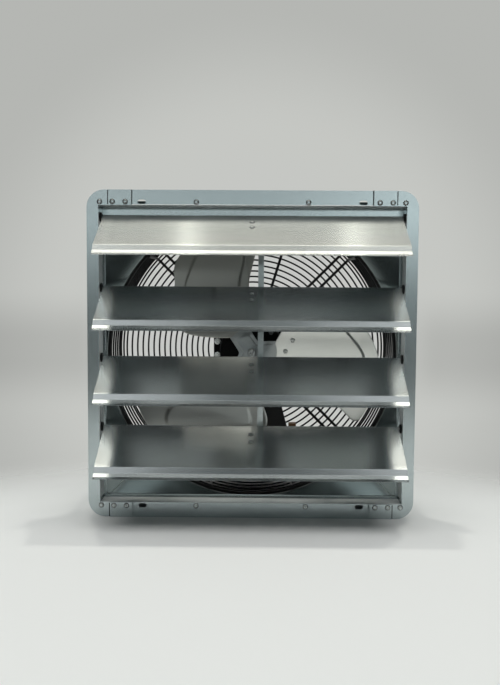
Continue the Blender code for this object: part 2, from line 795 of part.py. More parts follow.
def along_rib(shift, radius):
    """Distance along a shifted rib at which it is a given radius from the axis."""
    return math.sqrt(radius * radius - shift * shift)


def rib_reach(shift, welded):
    """Distance along a rib's line to its straight part."""
    return along_rib(shift, GUARD_RIB_CIRCLE) + (WELD_SINK if welded else 0)


def side_rib(angle, shift, welded):
    """A rib along the guard's side and round its shoulder."""
    reach = rib_reach(shift, welded)
    bend = GUARD_SHOULDER_RADIUS + (WELD_SINK if welded else 0)
    points = [(reach, COLLAR_REAR + GUARD_RIB_FRONT, shift)]
    for x, y in arc((reach - bend, SHOULDER_START), bend, 0, 90, RIB_BEND_STEPS):
        points.append((x, y, shift))
    points.append((reach - bend - RIB_RADIUS, SHOULDER_START + bend, shift))
    return moved(wire(points, RIB_RADIUS, RIB_SIDES), rib_matrix(angle))


def back_rib(angle, shift, welded):
    """The flat part of a rib, from the shoulder's end to the motor plate."""
    sink = WELD_SINK if welded else 0
    outer = rib_reach(shift, welded) - GUARD_SHOULDER_RADIUS - sink - RIB_RADIUS - GAP
    depth = GUARD_BACK_DEPTH + sink
    points = [(outer, depth, shift), (along_rib(shift, RIB_INNER_RADIUS), depth, shift)]
    return moved(wire(points, RIB_RADIUS, RIB_SIDES), rib_matrix(angle))


def side_rings():
    """The mouth ring, the rings along the guard's side and those round its shoulder."""
    rings = [wire_ring(MOUTH_RING_RADIUS, MOUTH_RING_DEPTH, RIB_RADIUS, OUTER_RING_STEPS, MOUTH_SIDES)]
    first = COLLAR_REAR + SIDE_RING_FIRST
    last = SHOULDER_START - SIDE_RING_LAST
    for i in range(SIDE_RING_COUNT):
        depth = first + (last - first) * i / (SIDE_RING_COUNT - 1)
        rings.append(wire_ring(SIDE_RING_RADIUS, depth, RING_WIRE_RADIUS, OUTER_RING_STEPS))
    middle = len(SHOULDER_RING_ANGLES) // 2
    for i, degrees in enumerate(SHOULDER_RING_ANGLES):
        angle = math.radians(degrees)
        reach = GUARD_SHOULDER_RADIUS + RING_OFFSET - (WELD_SINK if i == middle else 0)
        radius = SHOULDER_CENTRE + reach * math.cos(angle)
        depth = SHOULDER_START + reach * math.sin(angle)
        rings.append(wire_ring(radius, depth, RING_WIRE_RADIUS, OUTER_RING_STEPS))
    return rings


def back_rings():
    """The rings across the guard's back, the outermost of them welded to every rib."""
    rings = []
    for i in range(BACK_RING_COUNT):
        radius = BACK_RING_FIRST + BACK_RING_PITCH * i
        steps = OUTER_RING_STEPS if 2 * i > BACK_RING_COUNT else INNER_RING_STEPS
        depth = GUARD_BACK_DEPTH + RING_OFFSET - (WELD_SINK if i == BACK_RING_COUNT - 1 else 0)
        rings.append(wire_ring(radius, depth, RING_WIRE_RADIUS, steps))
    return rings


def add_guard():
    """The guard's side and its back, and the clips that hold it to the orifice panel."""
    side = combined(gather([side_rib(*line) for line in rib_lines()]), [gather(side_rings())], "UNION")
    back = combined(gather([back_rib(*line) for line in rib_lines()]), [gather(back_rings())], "UNION")
    add_object("guard_side", side, BLACK_PAINT)
    add_object("guard_back", back, BLACK_PAINT)
    for i, (sx, sz) in enumerate(row_signs()):
        add_object(f"guard_clip_{i + 1}", moved(guard_clip(), clip_frame(sx, sz)), PLAIN_STEEL)


# Motor


def motor_plate_outline():
    """A square plate with cut corners and a tongue down to the junction box."""
    half = MOTOR_PLATE_HALF
    nose = half - PLATE_CORNER
    right = [(nose, half), (half, nose), (half, -nose), (nose, -half), (PLATE_TONGUE_HALF, -half),
             (PLATE_TONGUE_HALF, -PLATE_TONGUE_DROP)]
    return right + [(-x, z) for x, z in reversed(right)]


def bell_profile(face, shell, boss):
    """Closed profile of an end bell, from the shell's edge to the bearing boss."""
    side = 1 if shell > face else -1
    thick = MOTOR_WALL * side
    pocket = BEARING_RADIUS + GAP
    return [
        (SHAFT_RADIUS + RUNNING_GAP * 2, boss),
        (MOTOR_BOSS_RADIUS, boss),
        (MOTOR_BOSS_RADIUS, face),
        (MOTOR_RADIUS - MOTOR_BELL_LENGTH / 2, face),
        (MOTOR_RADIUS, face + side * MOTOR_BELL_LENGTH / 2),
        (MOTOR_RADIUS, shell - side * GAP),
        (MOTOR_RADIUS - MOTOR_WALL, shell - side * GAP),
        (MOTOR_RADIUS - MOTOR_WALL, face + thick + side * MOTOR_BELL_LENGTH / 2),
        (MOTOR_BOSS_RADIUS, face + thick + side * MOTOR_BELL_LENGTH / 3),
        (MOTOR_BOSS_RADIUS, bearing_edge(face, side)),
        (pocket, bearing_edge(face, side)),
        (pocket, face + thick),
        (SHAFT_RADIUS + RUNNING_GAP * 2, face + thick),
    ]


def bearing_edge(face, side):
    """Depth of the inner end of a bearing's pocket."""
    return face + side * (MOTOR_WALL + GAP + BEARING_WIDTH)


def bearing(face, side):
    """A ball bearing, as one ring, seated in its bell."""
    near = face + side * (MOTOR_WALL + GAP)
    far = near + side * BEARING_WIDTH
    inner = SHAFT_RADIUS + GAP
    return turned([(inner, near), (BEARING_RADIUS, near), (BEARING_RADIUS, far), (inner, far)], MOTOR_STEPS)


def ring_of(inner, outer, near, far, steps=MOTOR_STEPS):
    """A plain ring about the fan's axis."""
    return turned([(inner, near), (outer, near), (outer, far), (inner, far)], steps)


def through_bolt_places():
    """Centres of the four bolts that clamp the bells on the shell."""
    places = []
    for i in range(4):
        angle = math.radians(45 + 90 * i)
        places.append((THROUGH_BOLT_CIRCLE * math.cos(angle), THROUGH_BOLT_CIRCLE * math.sin(angle)))
    return places


def add_motor_plate():
    """The plate welded across the guard's back, and the four bolts of the motor."""
    holes = []
    for i, (sx, sz) in enumerate(row_signs()):
        x = sx * PLATE_BOLT_X
        z = sz * PLATE_BOLT_Z
        bore = BOLT_SHANK_RADIUS + GAP
        holes.append(peg(x, z, bore, PLATE_FRONT - CUT_OVERRUN, PLATE_REAR + CUT_OVERRUN))
        levels = [
            (BOLT_HEAD_RADIUS, PLATE_FRONT - GAP - BOLT_HEAD_HEIGHT),
            (BOLT_HEAD_RADIUS, PLATE_FRONT - GAP),
            (BOLT_SHANK_RADIUS, PLATE_FRONT - GAP),
            (BOLT_SHANK_RADIUS, PLATE_REAR),
        ]
        bolt = moved(disc_stack(levels, 6), Matrix.Translation((x, 0, z)))
        add_object(f"motor_bolt_{i + 1}", bolt, PLAIN_STEEL)
    plate = cut(prism(motor_plate_outline(), "Y", PLATE_FRONT, PLATE_REAR), holes)
    add_object("motor_plate", plate, BLACK_PAINT)


def through_bolt_head(x, z):
    """A hex head on the front bell."""
    levels = [
        (THROUGH_BOLT_HEAD, MOTOR_FRONT - THROUGH_BOLT_HEAD_HEIGHT),
        (THROUGH_BOLT_HEAD, MOTOR_FRONT + MOTOR_WALL / 2),
    ]
    return moved(disc_stack(levels, 6), Matrix.Translation((x, 0, z)))


def add_motor():
    """Motor shell, its bells with their bolt heads, the bearings and the stator."""
    shell = ring_of(MOTOR_RADIUS - MOTOR_WALL, MOTOR_RADIUS, SHELL_FRONT, SHELL_REAR)
    front = turned(bell_profile(MOTOR_FRONT, SHELL_FRONT, MOTOR_FRONT - MOTOR_BOSS_LENGTH), MOTOR_STEPS)
    front = joined(front, [through_bolt_head(x, z) for x, z in through_bolt_places()])
    rear = turned(bell_profile(MOTOR_REAR, SHELL_REAR, MOTOR_REAR), MOTOR_STEPS)
    add_object("motor_shell", shell, BLACK_PAINT)
    add_object("motor_front_bell", front, BLACK_PAINT)
    add_object("motor_rear_bell", rear, BLACK_PAINT)
    add_object("front_bearing", bearing(MOTOR_FRONT, 1), PLAIN_STEEL)
    add_object("rear_bearing", bearing(MOTOR_REAR, -1), PLAIN_STEEL)

    low, high = core_limits()
    core = ring_of(STATOR_BORE, MOTOR_RADIUS - MOTOR_WALL - GAP, low, high, MOTOR_STEPS)
    coils = []
    for start in (low - GAP - WINDING_LENGTH, high + GAP):
        coils.append(ring_of(WINDING_INNER_RADIUS, WINDING_OUTER_RADIUS, start, start + WINDING_LENGTH))
    bars = [slot_bar(i, 0, low - 2 * GAP, high + 2 * GAP) for i in range(SLOT_COUNT)]
    slots = [slot_bar(i, GAP, low - CUT_OVERRUN, high + CUT_OVERRUN) for i in range(SLOT_COUNT)]
    add_object("stator_core", cut(core, slots), PLAIN_STEEL)
    add_object("stator_windings", joined(gather(coils), bars), COPPER)


def core_limits():
    """Depths of the two ends of the stator and rotor cores."""
    middle = (SHELL_FRONT + SHELL_REAR) / 2
    return middle - STATOR_LENGTH / 2, middle + STATOR_LENGTH / 2


def slot_bar(index, margin, near, far):
    """The winding in one stator slot, or the slot itself with its margin."""
    inner = WINDING_INNER_RADIUS + SHEET - margin
    outer = WINDING_OUTER_RADIUS - SHEET + margin
    half = SLOT_HALF_WIDTH + margin
    turn = Matrix.Rotation(2 * math.pi * index / SLOT_COUNT, 4, "Y")
    return moved(block((inner, outer), (near, far), (-half, half)), turn)


def box_half_width(drop):
    """Half width of the junction box at a drop below the fan's axis."""
    share = (drop - BOX_TOP_DROP) / BOX_HEIGHT
    return BOX_TOP_HALF + (BOX_BOTTOM_HALF - BOX_TOP_HALF) * share


def box_outline(inset):
    """The junction box's tapered outline, drawn in by a wall."""
    top = BOX_TOP_DROP + inset
    bottom = BOX_TOP_DROP + BOX_HEIGHT - inset
    wide = box_half_width(bottom) - inset
    narrow = box_half_width(top) - inset
    return [(-wide, -bottom), (wide, -bottom), (narrow, -top), (-narrow, -top)]


def add_junction_box():
    """A box on the plate's tongue, its lid with its screws, the cord inlet and the motor's lead."""
    rear = PLATE_FRONT - GAP
    front = rear - BOX_DEPTH
    body = prism(box_outline(0), "Y", front, rear)
    hollow = prism(box_outline(BOX_WALL), "Y", front - CUT_OVERRUN, rear - BOX_WALL)
    add_object("junction_box", cut(body, [hollow]), BLACK_PLASTIC)
    lid = prism(box_outline(0), "Y", front - GAP - LID_SHEET, front - GAP)
    screws = []
    for x, z in lid_screw_places():
        face = front - GAP - LID_SHEET
        tip = front + BOX_WALL
        screws.append(rivet(x, z, face, tip, LID_SCREW_RADIUS, LID_SCREW_HEIGHT, LID_SCREW_RADIUS / 2))
    add_object("junction_box_lid", joined(lid, screws), BLACK_PLASTIC)

    drop = BOX_TOP_DROP + BOX_HEIGHT - INLET_HEIGHT
    x = box_half_width(drop + INLET_HEIGHT) + GAP
    middle = (front + rear) / 2
    depth = (middle - INLET_DEPTH / 2, middle + INLET_DEPTH / 2)
    inlet = block((x, x + INLET_WIDTH), depth, (-drop - INLET_HEIGHT, -drop))
    circle = arc((x + INLET_WIDTH / 2, middle), INLET_BORE, 0, 330, 11)
    bore = prism(circle, "Z", -drop - INLET_HEIGHT - CUT_OVERRUN, -drop - INLET_HEIGHT / 3)
    add_object("cord_inlet", cut(inlet, [bore]), OCHRE)

    lead = [(0, middle, -BOX_TOP_DROP + GAP), (0, middle, -MOTOR_RADIUS - GAP)]
    add_object("motor_lead", wire(lead, LEAD_RADIUS, 8), BLACK_PLASTIC)


def lid_screw_places():
    """A screw near each corner of the lid."""
    inset = LID_SCREW_INSET
    top = BOX_TOP_DROP + inset
    bottom = BOX_TOP_DROP + BOX_HEIGHT - inset
    places = []
    for sx in end_signs():
        places.append((sx * (box_half_width(top) - inset), -top))
        places.append((sx * (box_half_width(bottom) - inset), -bottom))
    return places


# Fan wheel


def blade_pitch(share):
    """Slope of the blade across its width, from root to tip."""
    return ROOT_SLOPE_SHARE + (TIP_SLOPE_SHARE - ROOT_SLOPE_SHARE) * share


def blade_point(share, degrees, offset):
    """A point of the blade: its share of the radius, its angle, and a shift through the sheet."""
    radius = BLADE_RADIUS * share
    angle = math.radians(degrees)
    x = radius * math.cos(angle)
    z = radius * math.sin(angle)
    spread = z / BLADE_RADIUS
    depth = BLADE_PLANE - blade_pitch(share) * z + BLADE_CAMBER * spread * spread
    return (x, depth + offset, z)


def blade():
    """One blade about the arm along +X: rows at rising radius, columns across."""
    bm = bmesh.new()
    faces = []
    for offset in (-BLADE_SHEET / 2, BLADE_SHEET / 2):
        rows = []
        for share, low, high in BLADE_EDGE_SHARES:
            row = []
            for k in range(BLADE_COLUMNS + 1):
                row.append(bm.verts.new(blade_point(share, low + (high - low) * k / BLADE_COLUMNS, offset)))
            rows.append(row)
        for near, far in zip(rows, rows[1:]):
            for k in range(BLADE_COLUMNS):
                bm.faces.new((near[k], near[k + 1], far[k + 1], far[k]))
        faces.append(rows)
    front, back = faces
    rim = [(row, 0) for row in range(len(front))]
    rim += [(len(front) - 1, k) for k in range(1, BLADE_COLUMNS + 1)]
    rim += [(row, BLADE_COLUMNS) for row in range(len(front) - 2, -1, -1)]
    rim += [(0, k) for k in range(BLADE_COLUMNS - 1, 0, -1)]
    for i, (row, k) in enumerate(rim):
        after = rim[(i + 1) % len(rim)]
        bm.faces.new((front[row][k], front[after[0]][after[1]], back[after[0]][after[1]], back[row][k]))
    bmesh.ops.recalc_face_normals(bm, faces=bm.faces)
    return bm


def arm_depth(x, z, twist):
    """Depth of the arm's front face: flat at the hub, then parallel to the blade that it carries."""
    share = x / BLADE_RADIUS
    return ARM_FRONT + twist * (BLADE_CAMBER * (z / BLADE_RADIUS) ** 2 - blade_pitch(share) * z)


def spider_arm():
    """An arm along +X that twists from the hub's plane to the blade's slope and widens to a pad."""
    across = (-1, 0, 1)
    bm = bmesh.new()
    layers = []
    for offset in (0, ARM_SHEET):
        rows = []
        for station, twist, widening in ARM_STATION_SHARES:
            x = ARM_TIP_RADIUS * station
            half = ARM_HALF_WIDTH + (ARM_PAD_HALF_WIDTH - ARM_HALF_WIDTH) * widening
            row = []
            for side in across:
                z = side * half
                row.append(bm.verts.new((x, arm_depth(x, z, twist) + offset, z)))
            rows.append(row)
        layers.append(rows)
    front, back = layers
    last = len(ARM_STATION_SHARES) - 1
    wide = len(across) - 1
    for rows, flip in ((front, False), (back, True)):
        for i in range(last):
            for k in range(wide):
                face = [rows[i][k], rows[i][k + 1], rows[i + 1][k + 1], rows[i + 1][k]]
                bm.faces.new(face[::-1] if flip else face)
    rim = [(i, 0) for i in range(last + 1)] + [(last, k) for k in range(1, wide + 1)]
    rim += [(i, wide) for i in range(last - 1, -1, -1)] + [(0, k) for k in range(wide - 1, 0, -1)]
    for i, (row, k) in enumerate(rim):
        after = rim[(i + 1) % len(rim)]
        bm.faces.new((front[row][k], front[after[0]][after[1]], back[after[0]][after[1]], back[row][k]))
    bmesh.ops.recalc_face_normals(bm, faces=bm.faces)
    return bm


def blade_rivet_places():
    """Two inner rivets and one outer rivet on each arm."""
    half = BLADE_RIVET_SPACING / 2
    return ((BLADE_RIVET_INNER, 0), (BLADE_RIVET_OUTER, half), (BLADE_RIVET_OUTER, -half))


def blade_rivet(x, z):
    """A rivet set in the arm, whose head stands in front of the blade."""
    share = x / BLADE_RADIUS
    tilt = Matrix.Rotation(math.atan(blade_pitch(share)), 4, "X")
    levels = [
        (BLADE_RIVET_RADIUS / 2, -BLADE_SHEET / 2 - GAP - BLADE_RIVET_HEIGHT),
        (BLADE_RIVET_RADIUS, -BLADE_SHEET / 2 - GAP - BLADE_RIVET_HEIGHT / 3),
        (BLADE_RIVET_RADIUS, -BLADE_SHEET / 2 - GAP),
        (BLADE_RIVET_SHANK, -BLADE_SHEET / 2 - GAP),
        (BLADE_RIVET_SHANK, BLADE_SHEET / 2 + ARM_SHEET / 2 + GAP),
    ]
    depth = blade_point(share, 0, 0)[1] - blade_pitch(share) * z
    return moved(disc_stack(levels, RIVET_STEPS), Matrix.Translation((x, depth, z)) @ tilt)


def rivet_hole(x, z):
    """The loose hole for one blade rivet."""
    share = x / BLADE_RADIUS
    tilt = Matrix.Rotation(math.atan(blade_pitch(share)), 4, "X")
    bore = BLADE_RIVET_SHANK + GAP
    hole = disc_stack([(bore, -CUT_OVERRUN), (bore, 2 * CUT_OVERRUN)], RIVET_STEPS)
    depth = blade_point(share, 0, 0)[1] - blade_pitch(share) * z
    return moved(hole, Matrix.Translation((x, depth, z)) @ tilt)


def wheel_turns():
    """Rotations that repeat a blade or arm round the axis."""
    return [Matrix.Rotation(-2 * math.pi * i / BLADE_COUNT, 4, "Y") for i in range(BLADE_COUNT)]


def add_wheel():
    """Shaft, rotor, hub, set screw, spider with the blades' rivets, and three blades, on one pivot."""
    pivot = add_pivot("wheel_pivot", (0, 0, 0), (0, -WHEEL_REST_TURN, 0))
    shaft_rear = MOTOR_REAR - MOTOR_WALL - GAP
    levels = [
        (SHAFT_RADIUS - GAP, SHAFT_FRONT),
        (SHAFT_RADIUS, SHAFT_FRONT + GAP),
        (SHAFT_RADIUS, shaft_rear),
    ]
    add_object("motor_shaft", disc_stack(levels, MOTOR_STEPS), PLAIN_STEEL, pivot)
    low, high = core_limits()
    rotor = ring_of(SHAFT_RADIUS + GAP, STATOR_BORE - AIR_GAP, low, high, MOTOR_STEPS)
    add_object("rotor_core", rotor, PLAIN_STEEL, pivot)

    hub = ring_of(SHAFT_RADIUS + GAP, HUB_RADIUS, HUB_FRONT, HUB_REAR)
    set_screw_depth = (HUB_FRONT + HUB_REAR) / 2
    upright = Matrix.Translation((0, set_screw_depth, 0)) @ Matrix.Rotation(math.radians(90), 4, "X")
    hole = peg(0, 0, SET_SCREW_RADIUS + GAP, -HUB_RADIUS - CUT_OVERRUN, -SHAFT_RADIUS)
    add_object("wheel_hub", cut(hub, [moved(hole, upright)]), CAST_GREY, pivot)
    screw = peg(0, 0, SET_SCREW_RADIUS, -HUB_RADIUS, -SHAFT_RADIUS - GAP)
    add_object("set_screw", moved(screw, upright), PLAIN_STEEL, pivot)

    disc = ring_of(SHAFT_RADIUS + GAP, SPIDER_RADIUS, ARM_FRONT, SPIDER_REAR, MOTOR_STEPS)
    spider = united([disc] + [moved(spider_arm(), turn) for turn in wheel_turns()])
    rivets = []
    for turn in wheel_turns():
        for x, z in blade_rivet_places():
            rivets.append(moved(blade_rivet(x, z), turn))
    add_object("wheel_spider", joined(spider, rivets), CAST_GREY, pivot)
    for i, turn in enumerate(wheel_turns()):
        pierced = cut(blade(), [rivet_hole(x, z) for x, z in blade_rivet_places()])
        add_object(f"blade_{i + 1}", moved(pierced, turn), MILL_ALUMINIUM, pivot)


# Louvres


def louvre_heights():
    """Heights of the hinge lines, from the top down."""
    return [TOP_HINGE_Z - LOUVRE_PITCH * i for i in range(LOUVRE_COUNT)]


def louvre_outline():
    """Section of a louvre in its own (depth, height): the rolled hem, panel, strip, band and lip."""
    top = HEM_OUTER
    lines = [(PANEL_LENGTH, 0), (STRIP_LENGTH, STRIP_BEND), (BAND_LENGTH, BAND_BEND), (LIP_LENGTH, LIP_BEND)]
    upper = [(0, top)]
    directions = []
    for length, bend in lines:
        y, z = upper[-1]
        upper.append((y - length * math.cos(bend), z - length * math.sin(bend)))
        directions.append(bend)
    lower = []
    for i in range(1, len(upper)):
        before = directions[i - 1]
        after = directions[i] if i < len(directions) else before
        middle = (before + after) / 2
        reach = LOUVRE_SHEET / math.cos((after - before) / 2)
        y, z = upper[i]
        lower.append((y + reach * math.sin(middle), z - reach * math.cos(middle)))
    hem_out = arc((0, 0), HEM_OUTER, 90, -180, 9)
    hem_in = arc((0, 0), HEM_INNER, -180, 90, 9)
    return hem_out + hem_in + lower + upper[:0:-1]


def bracket_outline():
    """Side view of a bracket's ear in the louvre's own (depth, height)."""
    under = HEM_OUTER - LOUVRE_SHEET - GAP
    pin_y = PIN_BEHIND
    pin_z = -PIN_BELOW
    return [
        (-BRACKET_FRONT, under),
        (-BRACKET_FRONT, under - 2 * BRACKET_SHEET),
        (-BRACKET_FRONT / 2, pin_z + EAR_MARGIN),
        (0, pin_z - EAR_MARGIN),
        (pin_y + EAR_MARGIN / 2, pin_z - EAR_MARGIN),
        (pin_y + EAR_MARGIN, pin_z),
        (pin_y + EAR_MARGIN / 2, pin_z + EAR_MARGIN),
        (-HEM_OUTER, -HEM_OUTER * 2),
        (-BRACKET_BACK, under),
    ]


def bracket():
    """A flange with its two rivets under the louvre, and an ear that reaches the tie bar."""
    under = HEM_OUTER - LOUVRE_SHEET - GAP
    flange = block((-BRACKET_WIDTH / 2, BRACKET_WIDTH / 2), (-BRACKET_FRONT, -BRACKET_BACK),
                   (under - BRACKET_SHEET, under))
    ear = prism(bracket_outline(), "X", BRACKET_WIDTH / 2 - BRACKET_SHEET, BRACKET_WIDTH / 2)
    whole = united([flange, ear])
    rivets = [louvre_rivet(y) for y in LOUVRE_RIVET_PLACES]
    pin = prism(arc((PIN_BEHIND, -PIN_BELOW), PIN_RADIUS + PIN_HOLE_CLEARANCE, 0, 330, 11), "X",
                BRACKET_WIDTH / 2 - 2 * BRACKET_SHEET, BRACKET_WIDTH / 2 + BRACKET_SHEET)
    return joined(cut(whole, [pin]), rivets)


def louvre_rivet_hole(y):
    """A hole through louvre and bracket for one rivet."""
    bore = LOUVRE_RIVET_SHANK + GAP
    hole = disc_stack([(bore, -CUT_OVERRUN), (bore, CUT_OVERRUN)], RIVET_STEPS)
    return moved(hole, Matrix.Translation((0, -y, HEM_OUTER)) @ Matrix.Rotation(math.radians(90), 4, "X"))


def louvre_rivet(y):
    """A rivet set in the bracket, with its head on top of the louvre."""
    reach = LOUVRE_SHEET + GAP + BRACKET_SHEET / 2
    levels = [
        (LOUVRE_RIVET_RADIUS / 2, -GAP - LOUVRE_RIVET_HEIGHT),
        (LOUVRE_RIVET_RADIUS, -GAP - LOUVRE_RIVET_HEIGHT / 3),
        (LOUVRE_RIVET_RADIUS, -GAP),
        (LOUVRE_RIVET_SHANK, -GAP),
        (LOUVRE_RIVET_SHANK, reach),
    ]
    place = Matrix.Translation((0, -y, HEM_OUTER)) @ Matrix.Rotation(math.radians(-90), 4, "X")
    return moved(disc_stack(levels, RIVET_STEPS), place)


def add_louvres():
    """Four alike louvres, each with a pivot rod and a bracket."""
    sheet = prism(louvre_outline(), "X", -LOUVRE_HALF, LOUVRE_HALF)
    sheet = cut(sheet, [louvre_rivet_hole(y) for y in LOUVRE_RIVET_PLACES])
    rod_half = JAMB_X + SHEET + BUSHING_TAIL - ROD_TAIL
    rod = wire([(-rod_half, 0, 0), (rod_half, 0, 0)], ROD_RADIUS, 8)
    pieces = {
        "blade": (sheet, MILL_ALUMINIUM),
        "rod": (rod, PLAIN_STEEL),
        "bracket": (bracket(), GALVANISED),
    }
    meshes = {}
    for i, height in enumerate(louvre_heights()):
        pivot = add_pivot(f"louvre_{i + 1}_pivot", (0, HINGE_DEPTH, height), (LOUVRE_REST_ANGLE, 0, 0))
        for part, (bm, look) in pieces.items():
            name = f"louvre_{i + 1}_{part}"
            if i == 0:
                meshes[part] = add_object(name, bm, look, pivot).data
            else:
                add_mesh(name, meshes[part].copy(), look, pivot)


def add_bushings():
    """Black bushings that hold the pivot rods in the jambs."""
    flange_end = JAMB_X - GAP
    tail_end = JAMB_X + SHEET + BUSHING_TAIL
    bore = ROD_RADIUS + GAP
    profile = [
        (bore, flange_end - BUSHING_FLANGE),
        (BUSHING_RADIUS, flange_end - BUSHING_FLANGE),
        (BUSHING_RADIUS, flange_end),
        (BUSHING_BARREL_RADIUS, flange_end),
        (BUSHING_BARREL_RADIUS, tail_end),
        (bore, tail_end),
    ]
    for i, height in enumerate(louvre_heights()):
        for sx, side in ((1, "right"), (-1, "left")):
            place = Matrix.Translation((0, HINGE_DEPTH, height))
            place = place @ Matrix.Rotation(math.radians(-90 * sx), 4, "Z")
            bushing = moved(turned(profile, BUSHING_STEPS), place)
            add_object(f"louvre_{i + 1}_bushing_{side}", bushing, BLACK_PLASTIC)


def pin_place(height):
    """World (depth, height) of a bracket's pin at rest."""
    y = PIN_BEHIND * math.cos(LOUVRE_REST_ANGLE) + PIN_BELOW * math.sin(LOUVRE_REST_ANGLE)
    z = PIN_BEHIND * math.sin(LOUVRE_REST_ANGLE) - PIN_BELOW * math.cos(LOUVRE_REST_ANGLE)
    return HINGE_DEPTH + y, height + z


def add_tie_bar():
    """The angle bar that links the four brackets, and its pins."""
    depth, height = pin_place(TOP_HINGE_Z)
    pivot = add_pivot("tie_bar_pivot", (0, depth, height))
    leg = BRACKET_WIDTH / 2 + TIE_SIDE_GAP
    length = LOUVRE_PITCH * (LOUVRE_COUNT - 1)
    outline = [
        (leg, -TIE_DEPTH / 2),
        (leg + TIE_SHEET, -TIE_DEPTH / 2),
        (leg + TIE_SHEET, TIE_DEPTH / 2),
        (leg + TIE_WIDTH, TIE_DEPTH / 2),
        (leg + TIE_WIDTH, TIE_DEPTH / 2 + TIE_SHEET),
        (leg, TIE_DEPTH / 2 + TIE_SHEET),
    ]
    bar = prism(outline, "Z", -length - TIE_END, TIE_END)
    holes = []
    inside = BRACKET_WIDTH / 2 - BRACKET_SHEET
    for i in range(LOUVRE_COUNT):
        drop = -LOUVRE_PITCH * i
        hole = arc((0, drop), PIN_RADIUS + GAP, 0, 330, 11)
        holes.append(prism(hole, "X", leg - CUT_OVERRUN, leg + TIE_SHEET + CUT_OVERRUN))
        levels = [
            (PIN_HEAD_RADIUS, inside - GAP - PIN_HEAD_HEIGHT),
            (PIN_HEAD_RADIUS, inside - GAP),
            (PIN_RADIUS, inside - GAP),
            (PIN_RADIUS, leg + TIE_SHEET + GAP),
            (PIN_HEAD_RADIUS, leg + TIE_SHEET + GAP),
            (PIN_HEAD_RADIUS, leg + TIE_SHEET + GAP + PIN_HEAD_HEIGHT),
        ]
        place = Matrix.Translation((0, 0, drop)) @ Matrix.Rotation(math.radians(-90), 4, "Z")
        pin = moved(disc_stack(levels, RIVET_STEPS), place)
        add_object(f"tie_pin_{i + 1}", pin, PLAIN_STEEL, pivot)
    add_object("tie_bar", cut(bar, holes), GALVANISED, pivot)


def main():
    """Build the whole fan."""
    clear_scene()
    add_frame()
    add_orifice_panel()
    add_bushings()
    add_louvres()
    add_tie_bar()
    add_guard()
    add_motor_plate()
    add_motor()
    add_junction_box()
    add_wheel()


main()
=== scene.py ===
import math

import bmesh
import bpy
from mathutils import Matrix, Vector, noise


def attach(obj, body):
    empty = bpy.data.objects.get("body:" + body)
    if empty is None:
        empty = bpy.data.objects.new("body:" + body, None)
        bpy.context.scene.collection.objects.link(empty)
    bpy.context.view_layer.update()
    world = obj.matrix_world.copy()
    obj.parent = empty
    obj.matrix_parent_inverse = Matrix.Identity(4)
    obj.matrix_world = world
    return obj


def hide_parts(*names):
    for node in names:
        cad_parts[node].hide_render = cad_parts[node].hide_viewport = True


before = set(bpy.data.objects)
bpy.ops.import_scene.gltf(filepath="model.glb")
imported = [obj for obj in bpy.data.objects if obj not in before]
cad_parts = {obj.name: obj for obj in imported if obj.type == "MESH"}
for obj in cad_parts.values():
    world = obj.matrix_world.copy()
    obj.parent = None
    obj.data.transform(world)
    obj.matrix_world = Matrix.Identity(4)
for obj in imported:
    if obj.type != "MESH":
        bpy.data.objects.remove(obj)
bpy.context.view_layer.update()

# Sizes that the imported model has, in metres and degrees.
# X is width, Y is depth into the wall and Z is height.
SHEET = 0.0012
HINGE_DEPTH = 0.0118
HINGE_HEIGHTS = (0.2216, 0.1084, -0.0048, -0.1180)
LOUVRE_DEGREES = 31.4
LOUVRE_HALF = 0.240
WHEEL_DEGREES = 2.5
BLADE_RADIUS = 0.2225
FLOOR = -0.264

CORNERS = ((1, 1), (1, -1), (-1, 1), (-1, -1))


# Mesh helpers


def smooth_step(value, low, high):
    """0 below low, 1 above high, with a smooth rise between."""
    share = min(1, max(0, (value - low) / (high - low)))
    return share * share * (3 - 2 * share)


def circle(radius, depth, steps):
    """Points on a circle about Y."""
    angles = [2 * math.pi * i / steps for i in range(steps)]
    return [(radius * math.cos(angle), depth, radius * math.sin(angle)) for angle in angles]


def arc(centre, radius, start, end, steps):
    """Points along an arc, angles in degrees."""
    angles = [math.radians(start + (end - start) * i / steps) for i in range(steps + 1)]
    return [(centre[0] + radius * math.cos(angle), centre[1] + radius * math.sin(angle)) for angle in angles]


def seat_at(place, degrees, axis):
    """A seat at a place, turned about an axis."""
    return Matrix.Translation(place) @ Matrix.Rotation(math.radians(degrees), 4, axis)


